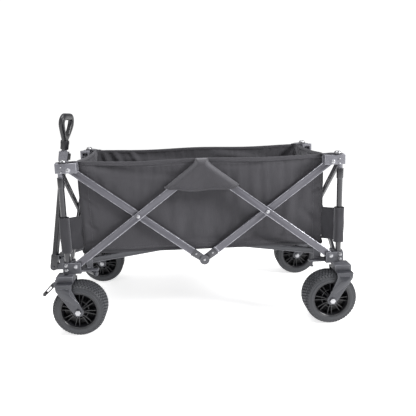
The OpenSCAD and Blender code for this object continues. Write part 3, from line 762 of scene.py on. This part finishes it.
def gripMesh():
    def loop(shoulder, foot, floor):
        ring = []
        circles = ((0.023, 0.078, shoulder), (-0.023, 0.078, shoulder), (0.0, 0.018, foot))
        for k in range(grip["around"]):
            angle = pi / 2 + 2 * pi * k / grip["around"]
            aim = Vector((cos(angle), sin(angle)))
            best = max(circles, key=lambda c: c[0] * aim.x + c[1] * aim.y + c[2])
            ring.append(Vector((best[0] + aim.x * best[2], best[1] + aim.y * best[2])))
        # spread the points evenly along the loop
        closed = ring + [ring[0]]
        lengths = [0.0]
        for a, b in zip(closed, closed[1:]):
            lengths.append(lengths[-1] + (b - a).length)
        even = []
        for k in range(grip["around"]):
            want = lengths[-1] * k / grip["around"]
            j = next(i for i in range(len(lengths) - 1) if lengths[i + 1] >= want)
            share = (want - lengths[j]) / max(1e-9, lengths[j + 1] - lengths[j])
            p = closed[j].lerp(closed[j + 1], share)
            even.append(Vector((p.x, max(p.y, floor))))
        return even

    outer, inner = loop(*grip["outer"]), loop(*grip["inner"])
    rings = []
    for a, b in zip(outer, inner):
        middle, half = (a + b) / 2, (a - b) / 2
        thick = grip["thick"] / 2 * (0.86 + 0.14 * min(1.0, a.y / 0.05))
        ring = []
        for s in range(grip["section"]):
            angle = 2 * pi * s / grip["section"]
            c, d = cos(angle), sin(angle)
            u = (abs(c) ** grip["bend"]) * (1 if c > 0 else -1)
            w = (abs(d) ** grip["bend"]) * (1 if d > 0 else -1)
            p = middle + half * u
            ring.append((w * thick, p.x, grip["base"] + p.y))
        rings.append(ring)
    loopMesh = sweptMesh("gripLoop", rings + [rings[0]], False)
    neck = turnedMesh("gripNeck", [(0.0102, -0.022), (0.0142, -0.022), (0.0150, -0.019), (0.0150, -0.006),
                                   (0.0162, 0.004), (0.0150, 0.012), (0.0102, 0.012)], 40)
    neck.transform(Matrix.Translation((0, 0, grip["base"])) @ Matrix.Rotation(radians(90), 4, "X"))
    joined = joinMeshes("grip", [cleanMesh(loopMesh, 60), neck])
    joined.transform(handleFrame @ Matrix.Rotation(grip["turn"], 4, "Z"))
    return joined


addPiece("handle_grip_moulded", gripMesh(), blackPlastic, "handle_slider", ("handle_grip",))
print("grip made")


# the bag: one shell, draped and then parted at its corner seams

bag = {"corner": 0.022, "pitch": 0.0085, "rows": 36, "sag": 0.0045, "frames": 20, "grow": 0.012,
       "outLimit": 0.0030, "inLimit": 0.015, "thick": 0.0016, "seed": 7.3, "press": 2.2}
long, wide = wallHigh.x - wallLow.x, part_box("bag_wall_right")[1].y * 2
wallBodies = {"left": "top_front_left", "rear": "top_rear_left", "right": "top_front_right",
              "front": "top_front_left"}

# creases: start, end (metres along the wall and above its foot), width, depth
creases = {
    "left": [((0.02, 0.312), (0.34, 0.262), 0.013, -0.0085), ((0.05, 0.318), (0.33, 0.285), 0.008, -0.004),
             ((0.02, 0.300), (0.20, 0.225), 0.016, 0.003),
             ((0.015, 0.205), (0.075, 0.150), 0.006, -0.006), ((0.02, 0.110), (0.065, 0.078), 0.006, -0.005),
             ((0.50, 0.292), (0.63, 0.296), 0.007, -0.006), ((0.58, 0.300), (0.83, 0.308), 0.010, -0.003),
             ((0.775, 0.118), (0.835, 0.094), 0.013, -0.008), ((0.80, 0.190), (0.838, 0.206), 0.006, -0.005),
             ((0.06, 0.02), (0.25, 0.05), 0.012, -0.004), ((0.60, 0.05), (0.80, 0.02), 0.012, -0.004),
             ((0.36, 0.02), (0.40, 0.20), 0.020, -0.003), ((0.46, 0.02), (0.47, 0.22), 0.024, -0.003)],
    "right": [((0.03, 0.31), (0.07, 0.20), 0.009, -0.008), ((0.07, 0.315), (0.13, 0.21), 0.010, -0.007),
              ((0.14, 0.315), (0.19, 0.24), 0.009, -0.006), ((0.10, 0.28), (0.40, 0.25), 0.014, -0.005),
              ((0.845, 0.30), (0.80, 0.20), 0.010, -0.009), ((0.79, 0.315), (0.75, 0.21), 0.010, -0.008),
              ((0.73, 0.315), (0.68, 0.23), 0.009, -0.006), ((0.50, 0.29), (0.70, 0.26), 0.014, -0.005),
              ((0.30, 0.03), (0.50, 0.06), 0.016, -0.005)],
    "front": [((0.02, 0.31), (0.17, 0.24), 0.012, -0.007), ((0.43, 0.31), (0.28, 0.24), 0.012, -0.007),
              ((0.03, 0.05), (0.12, 0.12), 0.010, -0.005), ((0.41, 0.05), (0.33, 0.11), 0.010, -0.005),
              ((0.20, 0.28), (0.26, 0.06), 0.022, -0.004)],
    "rear": [((0.02, 0.31), (0.18, 0.25), 0.012, -0.007), ((0.43, 0.31), (0.27, 0.23), 0.012, -0.007),
             ((0.03, 0.06), (0.13, 0.13), 0.010, -0.005), ((0.41, 0.05), (0.31, 0.12), 0.010, -0.005),
             ((0.24, 0.29), (0.19, 0.07), 0.022, -0.004)],
}


def wallColumns(wallName):
    r, halfLong, halfWide = bag["corner"], long / 2, wide / 2
    straight = {"left": long, "right": long, "front": wide, "rear": wide}[wallName] - 2 * r
    steps = round(straight / bag["pitch"])
    arc = (radians(45), radians(67.5))  # half a corner
    columns = [(r - r * cos(a), r * sin(a) - r, -cos(a), sin(a)) for a in arc]
    columns += [(r + straight * k / steps, 0.0, 0.0, 1.0) for k in range(steps + 1)]
    columns += [(straight + r + r * cos(a), r * sin(a) - r, cos(a), sin(a)) for a in reversed(arc)]
    placed = []
    for s, out, ns, nOut in columns:  # s along the wall, out is outwards
        if wallName == "left":
            placed.append((bedMiddle - halfLong + s, -halfWide - out, ns, -nOut))
        elif wallName == "rear":
            placed.append((bedMiddle + halfLong + out, -halfWide + s, nOut, ns))
        elif wallName == "right":
            placed.append((bedMiddle + halfLong - s, halfWide + out, -ns, nOut))
        else:
            placed.append((bedMiddle - halfLong - out, halfWide - s, -nOut, -ns))
    return placed


def creaseDepth(wallName, u, v):
    depth = 0.0
    for (u0, v0), (u1, v1), width, deep in creases[wallName]:
        du, dv = u1 - u0, v1 - v0
        span = du * du + dv * dv
        t = ((u - u0) * du + (v - v0) * dv) / span
        near = min(1.0, max(0.0, t))
        gap = hypot(u - u0 - near * du, v - v0 - near * dv)
        fade = sin(pi * min(1.0, max(0.0, 0.12 + 0.76 * near)))
        depth += deep * fade * (exp(-(gap / width) ** 2) - 0.35 * exp(-(gap / (2.1 * width)) ** 2))
    return depth


def bagGrid():
    order = ("left", "rear", "right", "front")
    columns, spans = [], {}
    run = 0.0
    for wallName in order:
        placed = wallColumns(wallName)
        first = len(columns)
        for k, (x, y, nx, ny) in enumerate(placed):
            if k == 0 and columns:
                continue
            if columns:
                run += hypot(x - columns[-1]["x"], y - columns[-1]["y"])
            columns.append({"x": x, "y": y, "nx": nx, "ny": ny, "run": run, "wall": wallName})
        spans[wallName] = (max(0, first - 1), len(columns) - 1)
    columns.pop()  # the last column is the first again
    total = run
    verts = []
    for c in columns:
        lengthways = c["wall"] in ("left", "right")
        span = long if lengthways else wide
        u = c["x"] - (bedMiddle - long / 2) if lengthways else c["y"] + wide / 2
        share = min(1.0, max(0.0, u / span))
        drop = bag["sag"] * (sin(pi * share) ** 2 if span < 0.6 else sin(2 * pi * share) ** 2)
        for row in range(bag["rows"] + 1):
            v = row / bag["rows"]
            foot = wallLow.z + 0.004
            z = foot + v * (wallHigh.z - 0.0015 - drop - foot)
            edge = min(1.0, 8 * v, 8 * (1 - v)) * min(1.0, 12 * share, 12 * (1 - share))
            spot = Vector((c["run"] * 9, z * 9, bag["seed"]))
            push = edge * (0.0062 * noise.noise(spot) + 0.0026 * noise.noise(spot * 3.1) - 0.0026)
            push = min(bag["outLimit"], max(-bag["inLimit"], push))
            verts.append(Vector((c["x"] + c["nx"] * push, c["y"] + c["ny"] * push, z)))
    return columns, spans, verts, total


columns, spans, bagVerts, bagRound = bagGrid()
rowCount = bag["rows"] + 1


clothSettings = {"quality": 6, "mass": 0.25, "tension_stiffness": 18, "compression_stiffness": 18,
                 "shear_stiffness": 8, "bending_stiffness": 1.2, "air_damping": 3}

def drape(verts):
    faces = []
    count = len(columns)
    for c in range(count):
        n = (c + 1) % count
        faces += [(c * rowCount + r, n * rowCount + r, n * rowCount + r + 1, c * rowCount + r + 1)
                  for r in range(rowCount - 1)]
    mesh = solidMesh("drapedShell", verts, faces)
    shell = bpy.data.objects.new("drapedShell", mesh)
    bpy.context.scene.collection.objects.link(shell)
    pins = shell.vertex_groups.new(name="pins")
    for c in range(count):
        for r in range(rowCount):
            if r in (0, 1, rowCount - 1):
                pins.add([c * rowCount + r], 1.0, "REPLACE")
    modifier = shell.modifiers.new("drape", "CLOTH")
    for key, value in clothSettings.items():
        setattr(modifier.settings, key, value)
    modifier.settings.vertex_group_mass = "pins"
    modifier.settings.shrink_min = -bag["grow"]
    modifier.point_cache.frame_start, modifier.point_cache.frame_end = 1, bag["frames"]
    scene = bpy.context.scene
    for frameNumber in range(1, bag["frames"] + 1):
        scene.frame_set(frameNumber)
    graph = bpy.context.evaluated_depsgraph_get()
    settled = [v.co.copy() for v in shell.evaluated_get(graph).data.vertices]
    bpy.data.objects.remove(shell)
    scene.frame_set(1)
    return settled


bagVerts = drape(bagVerts)
for c, column in enumerate(columns):  # creases are pressed in, and the cloth stays clear of the arms outside it
    along = column["x"] - wallLow.x if column["wall"] in ("left", "right") else column["y"] + wide / 2
    for r in range(rowCount):
        p = bagVerts[c * rowCount + r]
        push = (p.x - column["x"]) * column["nx"] + (p.y - column["y"]) * column["ny"]
        pressed = push + bag["press"] * creaseDepth(column["wall"], along, p.z - wallLow.z)
        allowed = min(bag["outLimit"], max(-bag["inLimit"], pressed))
        p.x += column["nx"] * (allowed - push)
        p.y += column["ny"] * (allowed - push)
print("bag draped")


def wallGrid(wallName):
    first, last = spans[wallName]
    picked = [k % len(columns) for k in range(first, last + 1)]
    grid = [[bagVerts[c * rowCount + r] for r in range(rowCount)] for c in picked]
    runs = [bagRound if c == 0 and wallName != "left" else columns[c]["run"] for c in picked]
    normals = [Vector((columns[c]["nx"], columns[c]["ny"], 0)) for c in picked]
    return grid, runs, normals

def gridMesh(name, grid, runs, heights):
    rows = len(grid[0])
    verts = [p for column in grid for p in column]
    uvs = [(runs[c], heights[r]) for c in range(len(grid)) for r in range(rows)]
    faces = [(c * rows + r, (c + 1) * rows + r, (c + 1) * rows + r + 1, c * rows + r + 1)
             for c in range(len(grid) - 1) for r in range(rows - 1)]
    return solidMesh(name, verts, faces, uvs)


def thicken(piece, thick, offset):
    modifier = piece.modifiers.new("thickness", "SOLIDIFY")
    modifier.thickness, modifier.offset = thick, offset
    modifier.use_even_offset = False
    return piece


def faceToward(mesh, direction, sample):  # the sheet's outside is the side that faces this way
    if mesh.polygons[sample].normal.dot(Vector(direction)) < 0:
        mesh.flip_normals()

def bandMesh(name, path, outward, halfHigh, halfThick, sections=14):  # a flattened roll along a path
    rings, run, runs = [], 0.0, []
    for k, p in enumerate(path):
        if k:
            run += (p - path[k - 1]).length
        ring = []
        for s in range(sections):
            angle = 2 * pi * s / sections
            ring.append(p + outward[k] * (halfThick * cos(angle)) + Vector((0, 0, halfHigh * sin(angle))))
        rings.append(ring)
        runs.append(run)
    mesh = sweptMesh(name, rings)
    layer = mesh.uv_layers.new(name="metres")
    for loop in mesh.loops:
        k, s = divmod(loop.vertex_index, sections)
        layer.data[loop.index].uv = (runs[k], s * 2 * (halfHigh + halfThick) / sections)
    return cleanMesh(mesh, 60)


stitchProfile = [(0.0, -0.5), (0.10, -0.44), (0.15, -0.2), (0.15, 0.2), (0.10, 0.44), (0.0, 0.5)]
stitchShape = turnedMesh("stitchShape", stitchProfile, 6, False)
stitchShape.transform(Matrix.Rotation(radians(90), 4, "X"))


def seamMesh(name, path, spacing=0.0042, long=0.0030):
    mesh = bpy.data.meshes.new(name)
    mesh.from_pydata([tuple(p) for p in path], [(k, k + 1) for k in range(len(path) - 1)], [])
    stitches = grow(name, seamTree, stitchShape, threadFinish, {"Spacing": spacing, "Stitch": long}, mesh)
    if not stitches.uv_layers:
        stitches.uv_layers.new(name="metres")
    for loop in stitches.loops:
        co = stitches.vertices[loop.vertex_index].co
        stitches.uv_layers[0].data[loop.index].uv = (co.x + co.y, co.z)
    return stitches


def wallSquash(piece, wallName):
    if wallName in ("left", "right"):
        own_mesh(piece)
    else:
        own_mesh(piece)


trim = {"rimHalf": 0.0075, "rimThick": 0.0024, "footHalf": 0.0055, "footThick": 0.0024}
heights = [wallLow.z + (wallHigh.z - wallLow.z) * r / bag["rows"] for r in range(rowCount)]
for wallName in ("left", "rear", "right", "front"):
    grid, runs, normals = wallGrid(wallName)
    body = wallBodies[wallName]
    wall = addPiece(f"bag_wall_{wallName}_cloth", gridMesh("wall", grid, runs, heights), bagCloth, body,
                    (f"bag_wall_{wallName}",))
    wall.data.shade_smooth()
    finer = wall.modifiers.new("finer", "SUBSURF")
    finer.levels = finer.render_levels = 1
    finer.boundary_smooth = "PRESERVE_CORNERS"
    thicken(wall, bag["thick"], -1)
    top = [column[-1] - Vector((0, 0, trim["rimHalf"] - 0.002)) - n * 0.0006
           for column, n in zip(grid, normals)]
    foot = [column[0] + Vector((0, 0, 0.002)) for column in grid]
    rimBand = addPiece(f"rim_binding_{wallName}",
                       bandMesh("rimBand", top, normals, trim["rimHalf"], trim["rimThick"]), bagCloth, body)
    footBand = addPiece(f"foot_piping_{wallName}",
                        bandMesh("footBand", foot, normals, trim["footHalf"], trim["footThick"]), webbing, body)
    lines = [[p + n * trim["rimThick"] - Vector((0, 0, 0.0035)) for p, n in zip(top, normals)],
             [column[-2] + n * 0.0004 - Vector((0, 0, 0.009)) for column, n in zip(grid, normals)],
             [column[2] + n * 0.0004 for column, n in zip(grid, normals)]]
    lines += [[p + normals[edge] * 0.0004 for p in grid[edge]] for edge in (4, -5)]
    seams = addPiece(f"wall_stitches_{wallName}",
                     joinMeshes("seams", [seamMesh("seam", line) for line in lines]), threadFinish, body)
    for piece in (wall, rimBand, footBand, seams):
        wallSquash(piece, wallName)
    runs[-1] - runs[0]
print("bag walls made")


# the bag's floor, in two halves that fold up along the middle

floorSettings = {"cells": (48, 14), "channels": 4, "groove": 0.0014}
for side in sides:
    low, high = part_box(f"bag_floor_{side}")
    across, along = floorSettings["cells"][1], floorSettings["cells"][0] * 2
    low.y, high.y = (low.y, -0.0001) if side == "left" else (0.0001, high.y)
    grid, runs = [], []
    for k in range(along + 1):
        u = k / along
        x = low.x + 0.001 + (high.x - low.x - 0.002) * u
        column = []
        for j in range(across * 2 + 1):
            v = j / (across * 2)
            y = low.y + (high.y - low.y) * v
            groove = floorSettings["groove"] * exp(-((u * floorSettings["channels"]) % 1.0 - 0.5) ** 2 / 0.0007)
            dip = 0.0008 * sin(pi * v) * noise.noise(Vector((x * 12, y * 12, 3.1)))
            column.append(Vector((x, y, high.z - 0.0006 - groove + dip)))
        grid.append(column)
        runs.append(x)
    floorCloth = addPiece(f"bag_floor_{side}_cloth",
                          gridMesh("floorHalf", grid, runs, [low.y + (high.y - low.y) * j / (across * 2)
                                                            for j in range(across * 2 + 1)]),
                          bagCloth, f"bag_floor_{side}", (f"bag_floor_{side}",))
    faceToward(floorCloth.data, (0, 0, 1), 0)
    floorCloth.data.shade_smooth()
    thicken(floorCloth, 0.0018, -1)
    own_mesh(floorCloth)
print("bag floor made")


# corner piping, corner tabs, post sleeves and centre flaps

tab = {"wide": 0.034, "thick": 0.0018, "steps": 14}
sleeve = {"low": 0.281, "high": 0.403, "halfLong": 0.0165, "halfWide": 0.0150, "steps": 40, "rows": 16,
          "pinch": 0.0016}


def cornerColumn(end, side):  # each long wall starts at its own end of the bed
    starts = {"left": "front", "right": "rear"}
    return wallGrid(side)[0][0 if end == starts[side] else -1]


for end in ends:
    for side in sides:
        column = cornerColumn(end, side)
        outward = Vector((alongSign[end], acrossSign[side], 0)).normalized()
        sideways = Vector((-outward.y, outward.x, 0))
        rings = []
        for p in column:
            rings.append([p + outward * (0.0022 * cos(a)) + sideways * (0.0022 * sin(a))
                          for a in (2 * pi * s / 12 for s in range(12))])
        pipe = sweptMesh("piping", rings)
        layer = pipe.uv_layers.new(name="metres")
        for loop in pipe.loops:
            k, s = divmod(loop.vertex_index, 12)
            layer.data[loop.index].uv = (k * 0.009, s * 0.0012)
        addPiece(f"corner_piping_{end}_{side}", cleanMesh(pipe, 60), webbing, f"top_{end}_{side}")

        # the tab runs from the rim's corner over the casting, under the dome screw
        screw = Vector((bedMiddle + alongSign[end] * 0.457, acrossSign[side] * 0.2515, wallHigh.z + 0.0012))
        start = column[-1] - outward * 0.004
        grid = []
        for k in range(tab["steps"] + 1):
            t = k / tab["steps"]
            reach = screw + outward * 0.016
            spine = start.lerp(Vector((reach.x, reach.y, 0)), t)
            spine.z = (start.z + (screw.z - start.z) * min(1.0, t * 2.2)) + 0.0006
            half = tab["wide"] / 2 * (1.0 if t < 0.72 else sqrt(max(0.02, 1 - ((t - 0.72) / 0.285) ** 2)))
            grid.append([spine + sideways * (half * w) + Vector((0, 0, 0.0006 * sin(9 * t + 5 * w)))
                         for w in (-1, -0.6, -0.2, 0.2, 0.6, 1)])
        tabPiece = addPiece(f"corner_tab_{end}_{side}",
                            gridMesh("tab", grid, [k * 0.004 for k in range(len(grid))],
                                     [w * 0.007 for w in range(6)]), webbing, f"top_{end}_{side}")
        faceToward(tabPiece.data, (0, 0, 1), 20)
        tabPiece.data.shade_smooth()
        thicken(tabPiece, tab["thick"], 1)
        (start - screw).length + 0.016

        # the sleeve wraps the post and its tail is sewn to the bag's corner
        postLow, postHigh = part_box(f"outer_post_{end}_{side}")
        post = (postLow + postHigh) / 2
        grid = []
        for k in range(sleeve["steps"] + 1):
            angle = 2 * pi * k / sleeve["steps"]
            column = []
            for r in range(sleeve["rows"] + 1):
                v = r / sleeve["rows"]
                z = sleeve["low"] + (sleeve["high"] - sleeve["low"]) * v
                spot = Vector((cos(angle) * 1.3, sin(angle) * 1.3 + alongSign[end], z * 26))
                pinch = sleeve["pinch"] * noise.noise(spot)
                square = 1 / (abs(cos(angle)) ** 3 + abs(sin(angle)) ** 3) ** (1 / 3)
                column.append(Vector((post.x + (sleeve["halfLong"] + pinch) * square * cos(angle),
                                      post.y + (sleeve["halfWide"] + pinch) * square * sin(angle), z)))
            grid.append(column)
        sleevePiece = addPiece(f"post_sleeve_{end}_{side}",
                               gridMesh("sleeve", grid, [k * 0.0026 for k in range(len(grid))],
                                        [r * 0.0076 for r in range(sleeve["rows"] + 1)]), webbing,
                               f"top_{end}_{side}")
        cleanMesh(sleevePiece.data, 60)
        thicken(sleevePiece, 0.0016, -1)
        cornerFoot = Vector((bedMiddle + alongSign[end] * (long / 2 - 0.007),
                             acrossSign[side] * (wide / 2 - 0.007), 0))
        inner = Vector((post.x, post.y, 0)) - outward * 0.014
        grid = []
        for k in range(9):
            t = k / 8
            spine = cornerFoot.lerp(inner, t)
            grid.append([Vector((spine.x, spine.y, 0)) + sideways * (0.0018 * sin(5 * t + 9 * v))
                         + Vector((0, 0, sleeve["low"] + 0.004 + (sleeve["high"] - sleeve["low"] - 0.008) * v))
                         for v in (r / 12 for r in range(13))])
        tail = addPiece(f"sleeve_tail_{end}_{side}",
                        gridMesh("tail", grid, [k * 0.004 for k in range(9)], [r * 0.01 for r in range(13)]),
                        webbing, f"top_{end}_{side}")
        tail.data.shade_smooth()
        thicken(tail, 0.0016, 0)
print("corner cloth made")

flap = {"topHalf": 0.022, "cover": 0.0315, "top": 0.5845, "foot": 0.490, "columns": 60, "rows": 26,
        "stand": 0.0412, "roll": 0.0062, "blend": 0.00012}
pivotHigh = pivot("fold_top_front_left").z
for side in sides:
    sign = acrossSign[side]
    grid, runs = [], []
    for c in range(flap["columns"] + 1):
        w = 2 * c / flap["columns"] - 1
        column = []
        for r in range(flap["rows"] + 1):
            v = r / flap["rows"]
            foot = flap["foot"] - 0.008 * (1 - w * w) + 0.002 * sin(7 * w)
            z = foot + (flap["top"] - foot) * v
            slope = 4 / 3 * (pivotHigh - z) + flap["cover"]  # just above the arm's upper edge
            past = slope - flap["topHalf"]
            half = flap["topHalf"] + 0.5 * (past + sqrt(past ** 2 + flap["blend"]))
            x = w * half
            edgeGap = min((1 - abs(w)) * half * 0.68, flap["top"] - z)
            rise = 1 - exp(-(edgeGap / flap["roll"]) ** 1.6)
            bulge = 0.003 * sin(pi * (w * 0.5 + 0.5)) * (1 - v) - 0.006 * exp(-(w / 0.38) ** 2) * (1 - v)
            ripple = 0.0011 * noise.noise(Vector((x * 34, z * 34, sign * 2.7)))
            y = sign * (wide / 2 + 0.0008 + flap["stand"] * rise + rise * (bulge + ripple + 0.0012))
            column.append(Vector((bedMiddle + x, y, z)))
        grid.append(column)
        runs.append(w * 0.09)
    ups = [r * 0.0045 for r in range(flap["rows"] + 1)]
    flapPiece = addPiece(f"centre_flap_{side}", gridMesh("flap", grid, runs, ups), bagCloth,
                         f"top_front_{side}")
    faceToward(flapPiece.data, (0, sign, 0), 200)
    flapPiece.data.shade_smooth()
    thicken(flapPiece, 0.0016, -1)
    hem = [column[1] + Vector((0, sign * 0.0006, 0.002)) for column in grid[2:-2]]
    slantA = [p + Vector((0, sign * 0.0008, 0)) for p in grid[3][1:]]
    slantB = [p + Vector((0, sign * 0.0008, 0)) for p in grid[-4][1:]]
    seams = addPiece(f"flap_stitches_{side}",
                     joinMeshes("flapSeams", [seamMesh("flapSeam", line) for line in (hem, slantA, slantB)]),
                     threadFinish, f"top_front_{side}")
    edgeRoll = addPiece(f"flap_hem_{side}", bandMesh("flapHem", [column[0] for column in grid],
                                                     [Vector((0, sign, 0))] * len(grid), 0.0030, 0.0014),
                        bagCloth, f"top_front_{side}")
    for piece in (flapPiece, seams, edgeRoll):
        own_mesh(piece)
print("flaps made")


# floor, lights and camera

stageSettings = {"key": 50, "left": 12, "right": 110, "sky": 0.34, "backdrop": 1.1, "floorGlow": 0.70}
floorMesh = bpy.data.meshes.new("floor")
floorMesh.from_pydata([(-15, -15, 0), (15, -15, 0), (15, 15, 0), (-15, 15, 0)], [], [(0, 1, 2, 3)])
floorPiece = bpy.data.objects.new("floor", floorMesh)
bpy.context.scene.collection.objects.link(floorPiece)
floorFinish = Finish("paleFloor", "", {"Base Color": tone(0.92, 0.92, 0.92), "Roughness": 0.6,
                                       "Emission Color": tone(1, 1, 1),
                                       "Emission Strength": stageSettings["floorGlow"]})
floorMesh.materials.append(floorFinish.material)

world = bpy.data.worlds.new("softRoom")
bpy.context.scene.world = world
world.use_nodes = True
room, background = Wiring(world.node_tree), world.node_tree.nodes["Background"]
room.feed(background.inputs[0], tone(1, 1, 1))
direct = room.add("ShaderNodeLightPath", out="Is Camera Ray")  # the backdrop is brighter than its light
room.feed(background.inputs[1], room.add("ShaderNodeMix", None, {
    0: direct, 2: stageSettings["sky"], 3: stageSettings["backdrop"]}))


def addLight(name, place, aim, size, power):
    data = bpy.data.lights.new(name, "AREA")
    data.shape, data.size, data.energy = "SQUARE", size, power
    lamp = bpy.data.objects.new(name, data)
    bpy.context.scene.collection.objects.link(lamp)
    lamp.location = place
    lamp.rotation_euler = (Vector(aim) - Vector(place)).to_track_quat("-Z", "Y").to_euler()


addLight("overhead", (-0.3, -0.6, 2.9), (0, 0, 0.3), 1.8, stageSettings["key"])
addLight("leftSide", (-2.8, -2.0, 1.9), (0, 0, 0.3), 1.4, stageSettings["left"])
addLight("rightSide", (2.9, -1.5, 1.9), (0.1, -0.2, 0.35), 0.7, stageSettings["right"])

cameraView = {"eye": (-0.031, -1.909, 0.761), "yaw": 2.876, "pitch": 11.70, "roll": -1.593, "lens": 43.27}
yaw, pitch, roll = (radians(cameraView[key]) for key in ("yaw", "pitch", "roll"))
forward = Vector((sin(yaw) * cos(pitch), cos(yaw) * cos(pitch), -sin(pitch)))
level = Vector((cos(yaw), -sin(yaw), 0))
upright = level.cross(forward)
right = level * cos(roll) + upright * sin(roll)
up = upright * cos(roll) - level * sin(roll)
cameraData = bpy.data.cameras.new("camera")
cameraData.sensor_width, cameraData.lens = 36, cameraView["lens"]
camera = bpy.data.objects.new("camera", cameraData)
bpy.context.scene.collection.objects.link(camera)
turned = Matrix((right, up, -forward)).transposed().to_4x4()
camera.matrix_world = Matrix.Translation(cameraView["eye"]) @ turned
bpy.context.scene.camera = camera

bpy.context.scene.view_settings.view_transform = "Standard"  # whites stay white

print("stage set")
